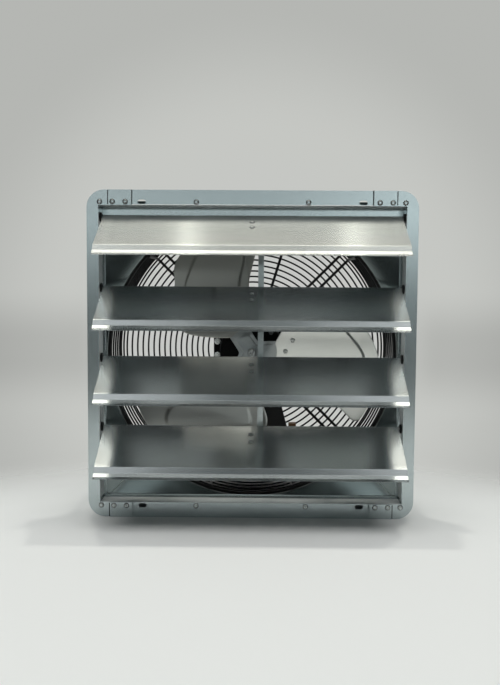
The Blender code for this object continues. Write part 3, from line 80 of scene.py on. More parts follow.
class Shell:
    """Vertices and faces gathered for one piece."""

    def __init__(self):
        self.points = []
        self.faces = []

    def loops(self, rings, closed_ring=True, closed_path=False, caps=False, place=None):
        """Rings of points joined one to the next."""
        start = len(self.points)
        count = len(rings[0])
        for ring in rings:
            for point in ring:
                self.points.append(tuple(place @ Vector(point)) if place else tuple(point))
        last = len(rings) if closed_path else len(rings) - 1
        around = count if closed_ring else count - 1
        for i in range(last):
            near = start + i * count
            far = start + (i + 1) % len(rings) * count
            for k in range(around):
                j = (k + 1) % count
                self.faces.append((near + k, near + j, far + j, far + k))
        if caps:
            end = start + (len(rings) - 1) * count
            self.faces.append(tuple(start + k for k in range(count))[::-1])
            self.faces.append(tuple(end + k for k in range(count)))
        return self

    def along_x(self, section, ends):
        """A bar between two widths, its section in (depth, height)."""
        return self.loops([[(x, y, z) for y, z in section] for x in ends], caps=True)

    def along_z(self, section, ends):
        """A bar between two heights, its section in (width, depth)."""
        return self.loops([[(x, y, z) for x, y in section] for z in ends], caps=True)

    def lathe(self, profile, steps, place=None, closed=False):
        """A profile of (radius, depth) turned about Y; a radius of 0 closes it."""
        rings = [circle(max(radius, 1e-6), depth, steps) for radius, depth in profile]
        return self.loops(rings, closed_path=closed, place=place)

    def tube(self, path, radius, sides, place=None):
        """A round wire along a path."""
        spots = [Vector(point) for point in path]
        rings = []
        side = None
        for i, spot in enumerate(spots):
            before = spots[max(i - 1, 0)]
            after = spots[min(i + 1, len(spots) - 1)]
            along = (after - before).normalized()
            side = along.orthogonal() if side is None else side - side.dot(along) * along
            side.normalize()
            other = along.cross(side)
            ring = []
            for k in range(sides):
                angle = 2 * math.pi * k / sides
                ring.append(spot + (side * math.cos(angle) + other * math.sin(angle)) * radius)
            rings.append(ring)
        return self.loops(rings, caps=True, place=place)

    def ring(self, radius, depth, thick, steps, sides, place=None):
        """A ring of round wire about Y."""
        rings = []
        for i in range(steps):
            angle = 2 * math.pi * i / steps
            ring = []
            for k in range(sides):
                turn = 2 * math.pi * (k + 0.5) / sides
                reach = radius + thick * math.cos(turn)
                ring.append((reach * math.cos(angle), depth + thick * math.sin(turn), reach * math.sin(angle)))
            rings.append(ring)
        return self.loops(rings, closed_path=True, place=place)

    def piece(self, name, body, material, nodes=(), slot=None, sharp=38):
        """Turn it into an object that rides on a body and may stand for CAD nodes."""
        mesh = bpy.data.meshes.new(name)
        mesh.from_pydata(self.points, [], self.faces)
        bm = bmesh.new()
        bm.from_mesh(mesh)
        bmesh.ops.remove_doubles(bm, verts=bm.verts, dist=2e-6)
        bmesh.ops.recalc_face_normals(bm, faces=bm.faces)
        bm.to_mesh(mesh)
        bm.free()
        mesh.shade_smooth()
        mesh.set_sharp_from_angle(angle=math.radians(sharp))
        mesh.materials.append(material)
        obj = bpy.data.objects.new(name, mesh)
        bpy.context.scene.collection.objects.link(obj)
        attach(obj, body)
        if nodes:
            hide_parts(*nodes)
        return obj


# Materials


class Graph:
    """A node tree, with short ways to add nodes and join them."""

    def __init__(self, tree):
        self.tree = tree

    def fill(self, socket, value):
        """Join a socket to another one, or set its value."""
        if isinstance(value, bpy.types.NodeSocket):
            self.tree.links.new(value, socket)
        else:
            socket.default_value = value

    def node(self, kind, inputs=None, **settings):
        """A node with its settings made and its inputs filled."""
        node = self.tree.nodes.new(f"ShaderNode{kind}")
        for key, value in settings.items():
            setattr(node, key, value)
        for key, value in (inputs or {}).items():
            self.fill(node.inputs[key], value)
        return node

    def coordinate(self, kind):
        return self.node("TexCoord").outputs[kind]

    def math(self, operation, *values):
        return self.node("Math", dict(enumerate(values)), operation=operation).outputs["Value"]

    def ramp(self, source, start, end, low, high, smooth=False):
        """From low where the source is at start, to high where it is at end."""
        inputs = {"Value": source, "From Min": start, "From Max": end, "To Min": low, "To Max": high}
        style = "SMOOTHSTEP" if smooth else "LINEAR"
        return self.node("MapRange", inputs, interpolation_type=style).outputs["Result"]

    def mix(self, share, one, two):
        """A blend of two colours, each a tuple or a socket."""
        one, two = ((*value, 1) if isinstance(value, tuple) else value for value in (one, two))
        return self.node("Mix", {"Factor": share, 6: one, 7: two}, data_type="RGBA").outputs[2]

    def radial(self, start, end, centre=(0, 0, 0)):
        """0 near a place on the object and 1 far from it."""
        apart = self.node("VectorMath", {0: self.coordinate("Object"), 1: centre}, operation="SUBTRACT")
        length = self.node("VectorMath", {0: apart.outputs["Vector"]}, operation="LENGTH")
        return self.ramp(length.outputs["Value"], start, end, 0, 1, True)


class Look(Graph):
    """A Principled material whose colour, roughness and bump come from nodes."""

    def __init__(self, name, metallic, **sockets):
        self.material = bpy.data.materials.new(name)
        self.material.use_nodes = True
        super().__init__(self.material.node_tree)
        self.shader = self.tree.nodes["Principled BSDF"]
        self.set(Metallic=metallic, **sockets)
        self.place = self.coordinate("Object")
        self.height = None

    def set(self, **sockets):
        """Fill the shader's own sockets."""
        for key, value in sockets.items():
            self.fill(self.shader.inputs[key.replace("_", " ")], value)

    def stretched(self, scale):
        return self.node("Mapping", {"Vector": self.place, "Scale": scale}).outputs["Vector"]

    def noise(self, scale, detail, rough, stretch=(1, 1, 1)):
        """A noise pattern with its scale in waves per metre."""
        inputs = {"Vector": self.stretched(stretch), "Scale": scale, "Detail": detail, "Roughness": rough}
        return self.node("TexNoise", inputs).outputs["Fac"]

    def cells(self, scale):
        """A grey for each cell of a pattern, with its scale in cells per metre."""
        pattern = self.node("TexVoronoi", {"Vector": self.stretched((1, 1, 1)), "Scale": scale})
        return self.node("RGBToBW", {"Color": pattern.outputs["Color"]}).outputs["Val"]

    def blend(self, one, two, share):
        """A weighted sum of two patterns."""
        return self.math("ADD", self.math("MULTIPLY", one, share), self.math("MULTIPLY", two, 1 - share))

    def rough(self, base, *parts):
        """A base roughness with small changes from patterns, each (pattern, start, end, low, high)."""
        total = self.ramp(*parts[0])
        for part in parts[1:]:
            total = self.math("ADD", total, self.ramp(*part))
        self.set(Roughness=self.math("ADD", total, base))

    def bump(self, source, distance, strength=1.0):
        """Fine relief on top of the relief that is already there."""
        inputs = {"Distance": distance, "Strength": strength, "Height": source}
        if self.height:
            inputs["Normal"] = self.height
        self.height = self.node("Bump", inputs).outputs["Normal"]
        self.set(Normal=self.height)


def galvanised(name, pale, dark, rough, metallic=1.0):
    """Zinc-coated sheet: faint spangle, soft mottling, fine grain and a slight unevenness."""
    look = Look(name, metallic)
    cloud = look.noise(5, 4, 0.6)
    fine = look.noise(900, 2, 0.5)
    share = look.blend(look.cells(260), cloud, 0.3)
    look.set(Base_Color=look.mix(look.ramp(share, 0.3, 0.65, 0, 1), dark, pale))
    look.rough(rough, (cloud, 0.3, 0.7, -0.012, 0.015), (fine, 0.3, 0.7, -0.015, 0.015))
    look.bump(look.noise(7, 1, 0.4), 0.0001, 0.4)
    look.bump(fine, 0.000004, 0.5)
    return look.material


def rolled(name, pale, dark, rough, grain, spread, anisotropic=0, coat=0, scratch=0):
    """Rolled sheet with faint lines along X; a rough coat gives a haze over sharp reflections."""
    look = Look(name, 1.0)
    lines = look.noise(1, 3, 0.6, grain)
    share = look.blend(lines, look.noise(7, 3, 0.55), 0.35)
    look.set(Base_Color=look.mix(look.ramp(share, 0.36, 0.62, 0, 1), dark, pale))
    look.rough(rough, (share, 0.3, 0.7, -spread, spread))
    if scratch:
        look.bump(lines, scratch)
    if anisotropic:
        tangent = look.node("Tangent", direction_type="RADIAL", axis="X")
        look.set(Anisotropic=anisotropic, Tangent=tangent.outputs["Tangent"])
    if coat:
        look.set(Coat_Weight=1.0, Coat_Roughness=coat)
    return look.material


def painted(name, colour, rough, level=0.25):
    """Satin paint or moulded plastic with a faint orange peel and a little dust."""
    look = Look(name, 0.0, Specular_IOR_Level=level)
    dust = look.noise(26, 5, 0.65)
    pale = tuple(min(1, c * 1.8 + 0.002) for c in colour)
    look.set(Base_Color=look.mix(look.ramp(dust, 0.45, 0.8, 0, 0.5), colour, pale))
    look.rough(rough, (dust, 0.3, 0.7, -0.05, 0.09))
    look.bump(look.noise(520, 2, 0.5), 0.00004, 0.6)
    return look.material


def turned_steel(name, colour, rough):
    """Plain or zinc-plated steel with fine marks."""
    look = Look(name, 1.0)
    marks = look.noise(330, 3, 0.6)
    cloud = look.noise(45, 3, 0.5)
    dark = tuple(c * 0.72 for c in colour)
    look.set(Base_Color=look.mix(look.ramp(cloud, 0.35, 0.65, 0, 1), dark, colour))
    look.rough(rough, (marks, 0.3, 0.7, -0.06, 0.08))
    look.bump(marks, 0.00002, 0.5)
    return look.material


# How much a rolled sheet's pattern is squeezed along each axis
LOUVRE_GRAIN = (160, 900, 900)
BLADE_GRAIN = (60, 500, 500)
CAST_GRAIN = (60, 60, 60)


def blade_look(name, pale, dark):
    return rolled(name, pale, dark, 0.29, BLADE_GRAIN, 0.006)


FRAME_STEEL = galvanised("frame_steel", (0.55, 0.615, 0.625), (0.50, 0.565, 0.575), 0.22, 0.82)
# The orifice panel's galvanised steel darkened for the shade it sits in behind the louvres: painted shade
PAINTED_SHADE_PANEL_STEEL = galvanised("painted_shade_panel_steel", (0.185, 0.215, 0.213), (0.16, 0.19, 0.19), 0.21)
LINK_STEEL = galvanised("link_steel", (0.50, 0.54, 0.54), (0.42, 0.46, 0.46), 0.30)
LOUVRE_SHEET = rolled("louvre_sheet", (0.68, 0.705, 0.70), (0.65, 0.675, 0.67), 0.23, LOUVRE_GRAIN, 0.004,
                      anisotropic=1.0, coat=0.45)
LOWER_LOUVRES = rolled("lower_louvres", (0.68, 0.715, 0.72), (0.65, 0.685, 0.69), 0.21, LOUVRE_GRAIN, 0.004,
                       anisotropic=0.75, coat=0.4)
BLADE_SHEET = blade_look("blade_sheet", (0.69, 0.70, 0.665), (0.65, 0.66, 0.63))
SPIDER_STEEL = rolled("spider_steel", (0.42, 0.44, 0.44), (0.32, 0.34, 0.34), 0.42, CAST_GRAIN, 0.02,
                      scratch=0.00001)
# Darker copies of the blade sheet for the upper and lower-left blades: painted shade
PAINTED_SHADE_UPPER_BLADE = blade_look("painted_shade_upper_blade", (0.36, 0.355, 0.33), (0.34, 0.335, 0.31))
PAINTED_SHADE_LOWER_BLADE = blade_look("painted_shade_lower_blade", (0.51, 0.505, 0.475), (0.48, 0.475, 0.45))
# Galvanised steel made pale and nearly matt so the inner faces, tab edges and top bend look lit: painted light
PAINTED_LIGHT_ZINC = galvanised("painted_light_zinc", (0.86, 0.89, 0.89), (0.78, 0.81, 0.81), 0.50, 0.1)
# Near-black strip beside each lapped joint, painted shadow
JOINT_SHADOW = painted("joint_shadow", (0.02, 0.022, 0.022), 0.6)
BLACK_WIRE = painted("black_wire", (0.0035, 0.0035, 0.0038), 0.42)
BLACK_MOTOR = painted("black_motor", (0.0012, 0.0012, 0.0013), 0.55, 0.12)
BLACK_PLASTIC = painted("black_moulding", (0.008, 0.008, 0.008), 0.46)
OCHRE = painted("ochre_block", (0.16, 0.075, 0.028), 0.55)
BARE_STEEL = turned_steel("bare_steel", (0.56, 0.57, 0.56), 0.30)
PLATED = turned_steel("plated_steel", (0.74, 0.75, 0.73), 0.28)
# Dark steel for screws and bolts, also used for the rings of painted shadow round the rivets
DARK_STEEL_AND_SHADOW = turned_steel("dark_steel_and_shadow", (0.16, 0.165, 0.17), 0.42)
COPPER = turned_steel("copper_wire", (0.72, 0.36, 0.18), 0.35)


# Carried-over CAD nodes


def dress(node, material, bevel=0.0):
    """Give a CAD node its material and small rounded edges that catch the light."""
    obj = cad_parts[node]
    if not obj.material_slots:
        obj.data.materials.append(material)
    for slot in obj.material_slots:
        slot.material = material
    if bevel:
        modifier = obj.modifiers.new("edges", "BEVEL")
        modifier.width = bevel
        modifier.segments = 2
        modifier.limit_method = "ANGLE"
        modifier.angle_limit = math.radians(40)
        modifier.harden_normals = True


for side in ("left", "right", "top", "bottom"):
    dress(f"frame_{side}", FRAME_STEEL, 0.00028)
dress("tie_bar", LINK_STEEL, 0.0002)
dress("motor_plate", BLACK_MOTOR, 0.0004)
dress("junction_box", BLACK_PLASTIC, 0.0006)
dress("junction_box_lid", BLACK_PLASTIC, 0.0004)
dress("cord_inlet", OCHRE, 0.0008)
dress("motor_lead", BLACK_PLASTIC)
dress("set_screw", DARK_STEEL_AND_SHADOW)
for node in ("front_bearing", "rear_bearing", "stator_core", "rotor_core"):
    dress(node, BARE_STEEL)
dress("stator_windings", COPPER)
for i in range(1, 5):
    dress(f"louvre_{i}_bracket", LINK_STEEL, 0.0002)
    dress(f"louvre_{i}_rod", BARE_STEEL, 0.0002)
    dress(f"tie_pin_{i}", BARE_STEEL, 0.0002)
    dress(f"guard_clip_{i}", PLATED, 0.0003)


# Louvres

HEM_OUTER = 0.00295
HEM_INNER = 0.00205
HEM_STEPS = 28
# Length and slope in degrees of the blade, the strip, the lip and its tip
LOUVRE_FLATS = ((0.0969, 0), (0.010, 27), (0.0075, 8), (0.0060, -14))
BEND_REACH = 0.0008
BEND_STEPS = 6
FLAT_STEPS = 12
# How far the raw edge is rounded out, as a share of the sheet
NOSE = 0.35
STATION_STEPS = 72
# The sheet's bow: waves per metre, how far apart two louvres are in the noise, and its two heights
BOW_WAVES = 9
BOW_APART = 7.3
BOW = 0.00010
BOW_FINE = 0.00003
BOW_FADE = (0.004, 0.03)
RIVET_DROPS = (0.0205, 0.0385)
# A dark ring painted as the shadow round each rivet: radius and half its width
LOUVRE_SHADOW_RING = (0.0038, 0.00045)
SHADOW_RING_STEPS = 28
SHADOW_RING_SIDES = 6
LOUVRE_RIVET = [(0, -0.00165), (0.0010, -0.0016), (0.0020, -0.0013), (0.0030, -0.0007), (0.0036, -0.0002),
                (0.0036, 0.0003)]
BUSHING = [(0.0021, 0.2416), (0.0066, 0.2416), (0.0075, 0.2424), (0.0075, 0.2450), (0.0034, 0.2450),
           (0.0034, 0.2488), (0.0030, 0.2491), (0.0021, 0.2491)]


def bow(x, row):
    """How far a louvre's sheet bows out of its plane along its length."""
    spot = Vector((x * BOW_WAVES, row * BOW_APART, 0.4))
    finer = spot * 2.7
    return BOW * noise.noise(spot) + BOW_FINE * noise.noise(finer)


def louvre_section():
    """The louvre's section in its own (depth, height), with rounded bends."""
    sheet = HEM_OUTER - HEM_INNER
    corners = [(0.0, HEM_OUTER)]
    for length, degrees in LOUVRE_FLATS:
        y, z = corners[-1]
        slant = math.radians(degrees)
        corners.append((y - length * math.cos(slant), z - length * math.sin(slant)))
    flat_end = corners[1][0] + BEND_REACH
    upper = [(flat_end * (k / FLAT_STEPS), HEM_OUTER) for k in range(FLAT_STEPS + 1)]
    for i in range(1, len(LOUVRE_FLATS)):
        here = Vector(corners[i])
        before = here + (Vector(corners[i - 1]) - here).normalized() * BEND_REACH
        after = here + (Vector(corners[i + 1]) - here).normalized() * BEND_REACH
        for k in range(BEND_STEPS + 1):
            t = k / BEND_STEPS
            upper.append(tuple(before * (1 - t) ** 2 + here * 2 * t * (1 - t) + after * t * t))
    upper.append(corners[-1])
    lower = []
    for i, spot in enumerate(upper):
        before = Vector(upper[max(i - 1, 0)])
        after = Vector(upper[min(i + 1, len(upper) - 1)])
        along = (after - before).normalized()
        lower.append((spot[0] - along.y * sheet, spot[1] + along.x * sheet))
    edge = Vector(upper[-1]).lerp(Vector(lower[-1]), 0.5)
    along = (Vector(upper[-1]) - Vector(upper[-2])).normalized()
    nose = tuple(edge + along * sheet * NOSE)
    hem_out = arc((0, 0), HEM_OUTER, 90, -180, HEM_STEPS)
    hem_in = arc((0, 0), HEM_INNER, -180, 90, HEM_STEPS)
    return hem_out[1:] + hem_in[:-1] + lower + [nose] + upper[::-1]


def louvre_sheet(row, place):
    """One blade, made flat in its own frame and then set on its hinge."""
    rings = []
    for k in range(STATION_STEPS + 1):
        x = -LOUVRE_HALF + LOUVRE_HALF * 2 * k / STATION_STEPS
        bowed = bow(x, row)
        rings.append([(x, y, z + bowed * smooth_step(-y, *BOW_FADE)) for y, z in SECTION])
    body = f"louvre_{row + 1}"
    material = LOWER_LOUVRES if row else LOUVRE_SHEET
    obj = Shell().loops(rings, caps=True).piece(f"{body}_sheet", body, material, (f"{body}_blade",),
                                                "mill_aluminium", 50)
    obj.matrix_world = place @ obj.matrix_world


SECTION = louvre_section()
for row, height in enumerate(HINGE_HEIGHTS):
    hinge = (0, HINGE_DEPTH, height)
    place = seat_at(hinge, LOUVRE_DEGREES, "X")
    louvre_sheet(row, place)
    body = f"louvre_{row + 1}"
    rivets = Shell()
    rivet_shadows = Shell()
    for drop in RIVET_DROPS:
        seat = place @ seat_at((0, -drop, HEM_OUTER), -90, "X")
        rivets.lathe(LOUVRE_RIVET, 24, seat)
        rivet_shadows.ring(LOUVRE_SHADOW_RING[0], 0, LOUVRE_SHADOW_RING[1], SHADOW_RING_STEPS, SHADOW_RING_SIDES, seat)
    rivets.piece(f"{body}_rivets", body, PLATED, slot="plain_steel", sharp=60)
    # A dark ring round each rivet, painted shadow
    rivet_shadows.piece(f"{body}_rivet_shadow_rings", body, DARK_STEEL_AND_SHADOW, slot="plain_steel", sharp=60)
    for end, sign in (("left", -1), ("right", 1)):
        seat = seat_at(hinge, -90 * sign, "Z")
        bush = Shell().lathe(BUSHING, 36, seat, closed=True)
        bush.piece(f"{body}_bush_{end}", "frame", BLACK_PLASTIC, (f"{body}_bushing_{end}",), "black_plastic")


# Frame: what its four CAD members don't carry

# A dark strip beside each lapped joint, painted as its shadow line; the raised edge of the lapped tabs; and a thin
# lining inside the frame's four sides, which with the tab edges is pale zinc, a painted light
SEAM_WIDTH = 0.2290
SEAM_BAND = 0.0017
SEAM_ENDS = (0.2412, 0.2634)
TAB_FOOT = 0.1936
TAB_TOP = 0.1919
TAB_ENDS = (0.2402, 0.2638)
FACE_WIDTH = 0.2453
FACE_HEIGHT = 0.2398
FACE_THICK = 0.00025
FACE_FRONT = -0.0008
SIDE_FACE_BACK = 0.0320
SIDE_FACE_ENDS = (-0.2340, 0.2268)
LEVEL_FACE_BACK = 0.0325
LEVEL_FACE_ENDS = (-0.2447, 0.2447)
RIVET_HEIGHT = 0.245
# Width and depth of the rivets by each corner; two of them sit on the lapped tab
RIVET_SPOTS = ((0.243, -SHEET), (0.202, -0.0030), (0.22252, -0.0030), (0.089, -SHEET))
FRAME_RIVET = [(0, -0.0011), (0.0006, -0.00105), (0.0009, -0.0008), (0.0010, -0.0002), (0.0015, -0.0003),
               (0.0018, -0.0013), (0.0024, -0.00145), (0.0031, -0.0011), (0.0036, -0.0004), (0.0036, 0.0003)]
# A dark ring painted as the shadow round each rivet: its radius and half its width; and the bend under the top
# flange, whose pale zinc is a painted highlight
FRAME_SHADOW_RING = (0.0040, 0.00042)
TOP_BEND = [(-0.0011, 0.2411), (-0.0014, 0.2411), (-0.0021, 0.2401), (-0.0018, 0.2397), (-0.0005, 0.2397)]
TOP_BEND_ENDS = (-0.2262, 0.2262)

joint_shadows = Shell()
edges = Shell()
rivets = Shell()
rivet_shadows = Shell()
for sx, sz in CORNERS:
    near = sx * SEAM_WIDTH
    far = near + sx * SEAM_BAND
    joint_shadows.along_z([(near, -0.0011), (near, -0.0018), (far, -0.0014), (far, -0.0011)], [sz * z for z in SEAM_ENDS])
    foot = sx * TAB_FOOT
    top = sx * TAB_TOP
    edges.along_z([(foot, -SHEET), (foot, -0.0028), (top, -0.0013), (top, -SHEET)], [sz * z for z in TAB_ENDS])
    for x, depth in RIVET_SPOTS:
        rivets.lathe(FRAME_RIVET, 28, Matrix.Translation((sx * x, depth, sz * RIVET_HEIGHT)))
        seat = Matrix.Translation((sx * x, 0, sz * RIVET_HEIGHT))
        rivet_shadows.ring(FRAME_SHADOW_RING[0], depth, FRAME_SHADOW_RING[1], SHADOW_RING_STEPS, SHADOW_RING_SIDES, seat)
# Painted shadow beside each lapped joint
joint_shadows.piece("joint_shadow_strips", "frame", JOINT_SHADOW, slot="galvanised_steel")
# Tab edges in pale zinc, painted light
edges.piece("tab_edges", "frame", PAINTED_LIGHT_ZINC, slot="galvanised_steel")
rivets.piece("frame_rivets", "frame", PLATED, slot="plain_steel", sharp=50)
# A dark ring round each rivet, painted shadow
rivet_shadows.piece("frame_rivet_shadow_rings", "frame", DARK_STEEL_AND_SHADOW, slot="plain_steel", sharp=60)

faces = Shell()
for sx in (1, -1):
    near = sx * FACE_WIDTH
    far = sx * (FACE_WIDTH - FACE_THICK)
    section = [(near, FACE_FRONT), (near, SIDE_FACE_BACK), (far, SIDE_FACE_BACK), (far, FACE_FRONT)]
    faces.along_z(section, SIDE_FACE_ENDS)
for sz in (1, -1):
    near = sz * FACE_HEIGHT
    far = sz * (FACE_HEIGHT - FACE_THICK)
    section = [(FACE_FRONT, near), (LEVEL_FACE_BACK, near), (LEVEL_FACE_BACK, far), (FACE_FRONT, far)]
    faces.along_x(section, LEVEL_FACE_ENDS)
# A pale lining on the frame's inner faces, painted light
faces.piece("frame_inner_faces", "frame", PAINTED_LIGHT_ZINC, slot="galvanised_steel")

# The bend under the top flange in pale zinc, a painted highlight line
top_bend = Shell().along_x(TOP_BEND, TOP_BEND_ENDS)
top_bend.piece("top_bend", "frame", PAINTED_LIGHT_ZINC, slot="galvanised_steel", sharp=60)


# Orifice panel

PAN_HALF = 0.2480
PAN_FRONT = 0.0348
PAN_RISE = 0.0122
SKIRT_FRONT = 0.0178
HOLE_RADIUS = 0.241
COLLAR_BACK = 0.0560
PAN_STEPS = 192
PAN_EDGE = 0.0008
CREASE_ENDS = ((0.2465, 0.0350), (0.1715, 0.0469))
CREASE_RADIUS = 0.0007
# How far the brim lies outside the hole, on the panel's front and on its back
BRIM_FRONT = 0.0012
BRIM_BACK = 0.0024
SCREW_HEIGHTS = (-0.170, 0, 0.170)
SCREW_DEPTH = 0.0263
SCREW_HEAD = [(0, -0.0028), (0.0024, -0.0028), (0.0029, -0.0024), (0.0029, -0.0008), (0.0043, -0.0007),
              (0.0045, 0.0004)]
SCREW_WASHER = [(0.0028, -0.0009), (0.0046, -0.0008), (0.0048, -0.0003), (0.0048, 0.0004)]


def square(half, depth):
    """Points round a square, each straight out from the point of a circle."""
    ring = []
    for i in range(PAN_STEPS):
        angle = 2 * math.pi * i / PAN_STEPS
        reach = half / max(abs(math.cos(angle)), abs(math.sin(angle)))
        ring.append((reach * math.cos(angle), depth, reach * math.sin(angle)))
    return ring


def between(outer, inner, share):
    return [tuple(Vector(a).lerp(Vector(b), share)) for a, b in zip(outer, inner)]


def panel_piece():
    """The pan with its four creases, the rolled mouth of its hole and the collar."""
    brim_depth = PAN_FRONT + PAN_RISE
    outside = square(PAN_HALF - PAN_EDGE, PAN_FRONT + SHEET)
    back = circle(HOLE_RADIUS + BRIM_BACK, brim_depth + SHEET, PAN_STEPS)
    base = square(PAN_HALF - SHEET, PAN_FRONT)
    brim = circle(HOLE_RADIUS + BRIM_FRONT, brim_depth, PAN_STEPS)
    rings = [square(PAN_HALF, SKIRT_FRONT), square(PAN_HALF, PAN_FRONT + SHEET - PAN_EDGE), outside]
    rings += [between(outside, back, share) for share in (0.33, 0.66, 1.0)]
    rings += [circle(HOLE_RADIUS + more, depth, PAN_STEPS) for more, depth in (
        (0.0013, brim_depth + 0.0024), (SHEET, COLLAR_BACK), (0, COLLAR_BACK), (0, brim_depth + 0.0016),
        (0.0004, brim_depth + 0.0004))]
    rings += [brim] + [between(base, brim, share) for share in (0.66, 0.33, 0.0)]
    rings.append(square(PAN_HALF - SHEET, SKIRT_FRONT))
    return Shell().loops(rings, closed_path=True)


# Darkened steel: painted shade on the orifice panel
panel_piece().piece("orifice_pan", "frame", PAINTED_SHADE_PANEL_STEEL, ("orifice_panel",), "galvanised_steel", 20)

creases = Shell()
for sx, sz in CORNERS:
    creases.tube([(sx * half, depth, sz * half) for half, depth in CREASE_ENDS], CREASE_RADIUS, 10)
creases.piece("pan_creases", "frame", LINK_STEEL, slot="galvanised_steel", sharp=60)

screws = Shell()
for sx in (1, -1):
    for z in SCREW_HEIGHTS:
        seat = seat_at((sx * PAN_HALF, SCREW_DEPTH, z), 90 * sx, "Z")
        screws.lathe(SCREW_HEAD, 6, seat)
        screws.lathe(SCREW_WASHER, 28, seat)
screws.piece("panel_screws", "frame", PLATED, slot="plain_steel", sharp=30)


# Guard

WIRE = 0.0016
RIB = 0.0025
RING_STEPS = 144
WIRE_SIDES = 8
RIB_SIDES = 12
MOUTH_RING = (0.2399, 0.0602)
SIDE_RADIUS = 0.2400
SIDE_DEPTHS = [0.0762 + 0.020625 * i for i in range(5)]
SHOULDER_CENTRE = (0.2247, 0.1630)
SHOULDER_REACH = 0.0152
SHOULDER_ANGLES = (22, 48, 72)
FLAT_DEPTH = 0.1783
FLAT_RADII = [0.0804 + 0.009986 * i for i in range(15)]
RIB_OUTER = 0.236
RIB_INNER = 0.060
RIB_BEND = 0.0113
RIB_BACK = 0.1743
RIB_BACK_STEP = 0.08
RIB_DEPTHS = (0.0566, 0.0600, 0.11)
# In each quarter two ribs run side by side on the diagonal, and one lies on each side of the axis
PAIR_SHIFT = 0.008
SPREAD = math.radians(17)


def guard_piece():
    """Every rib and ring of the guard in one welded piece."""
    shell = Shell()
    shell.ring(*MOUTH_RING, RIB, RING_STEPS, RIB_SIDES)
    for depth in SIDE_DEPTHS:
        shell.ring(SIDE_RADIUS, depth, WIRE, RING_STEPS, WIRE_SIDES)
    for degrees in SHOULDER_ANGLES:
        angle = math.radians(degrees)
        radius = SHOULDER_CENTRE[0] + SHOULDER_REACH * math.cos(angle)
        depth = SHOULDER_CENTRE[1] + SHOULDER_REACH * math.sin(angle)
        shell.ring(radius, depth, WIRE, RING_STEPS, WIRE_SIDES)
    for i, radius in enumerate(FLAT_RADII):
        shell.ring(radius, FLAT_DEPTH, WIRE, 96 + 3 * i, WIRE_SIDES)
    ribs = []
    for quarter in range(4):
        diagonal = math.radians(45 + 90 * quarter)
        axis = math.radians(90 * quarter)
        ribs += [(diagonal, PAIR_SHIFT), (diagonal, -PAIR_SHIFT), (axis + SPREAD, 0), (axis - SPREAD, 0)]
    for angle, shift in ribs:
        reach = math.sqrt(RIB_OUTER ** 2 - shift ** 2)
        start = math.sqrt(RIB_INNER ** 2 - shift ** 2)
        path = [(reach, depth, shift) for depth in RIB_DEPTHS]
        for x, y in arc((reach - RIB_BEND, RIB_BACK - RIB_BEND), RIB_BEND, 0, 90, 10):
            path.append((x, y, shift))
        path += [(reach - RIB_BACK_STEP, RIB_BACK, shift), (start, RIB_BACK, shift)]
        shell.tube(path, RIB, RIB_SIDES, Matrix.Rotation(-angle, 4, "Y"))
    return shell


guard_piece().piece("guard", "frame", BLACK_WIRE, ("guard_side", "guard_back"), "black_paint", 60)


# Motor

MOTOR_RADIUS = 0.0560
MOTOR_INNER = 0.0535
SHELL_FRONT = 0.1072
SHELL_BACK = 0.1592
FRONT_FACE = 0.0982
REAR_FACE = 0.1682
GROOVE = 0.0553
GROOVES = [0.1116 + 0.0054 * k for k in range(9)]
CLAMP_REACH = 0.046
BOLT_PLACE = (0.0635, 0.0125)
CLAMP_HEAD = [(0, -0.0027), (0.0036, -0.0027), (0.0042, -0.0021), (0.0042, 0.0004)]
BOLT_HEAD = [(0, -0.0010), (0.0017, -0.0012), (0.0021, -0.0030), (0.0036, -0.0030), (0.0041, -0.0024),
             (0.0042, -0.0010), (0.0055, -0.0009), (0.0056, 0.0)]
BOLT_SHANK = [(0.0026, 0.0), (0.0026, 0.0033)]


def bell(face, shell_end, boss, name, node):
    """An end bell with its rounded shoulder, raised rim and bearing boss."""
    side = 1 if shell_end > face else -1
    shoulder = 0.0050
    profile = [(0.0072, boss), (0.0185, boss), (0.0205, boss + side * 0.0012), (0.0210, boss + side * 0.003),
               (0.0225, face + side * 0.0002), (0.0300, face), (0.0410, face), (0.0500, face + side * 0.0006)]
    for k in range(7):
        angle = math.radians(90 * k / 6)
        profile.append((0.0510 + shoulder * math.sin(angle), face + side * (0.0056 - shoulder * math.cos(angle))))
    profile += [(MOTOR_RADIUS, shell_end - side * 0.0003), (MOTOR_INNER, shell_end - side * 0.0003),
                (MOTOR_INNER, face + side * 0.006), (0.0210, face + side * 0.006), (0.0158, face + side * 0.0128),
                (0.0158, face + side * 0.0025), (0.0072, face + side * 0.0025)]
    Shell().lathe(profile, 72, closed=True).piece(name, "frame", BLACK_MOTOR, (node,), "black_paint", 40)


bell(FRONT_FACE, SHELL_FRONT, 0.0922, "front_end_bell", "motor_front_bell")
bell(REAR_FACE, SHELL_BACK, REAR_FACE, "rear_end_bell", "motor_rear_bell")

profile = [(MOTOR_INNER, SHELL_FRONT), (GROOVE, SHELL_FRONT), (MOTOR_RADIUS, 0.1079)]
for middle in GROOVES:
    profile += [(MOTOR_RADIUS, middle - 0.0012), (GROOVE, middle - 0.0006), (GROOVE, middle + 0.0006),
                (MOTOR_RADIUS, middle + 0.0012)]
profile += [(MOTOR_RADIUS, 0.1585), (GROOVE, SHELL_BACK), (MOTOR_INNER, SHELL_BACK)]
Shell().lathe(profile, 72, closed=True).piece("motor_tube", "frame", BLACK_MOTOR, ("motor_shell",), "black_paint", 40)

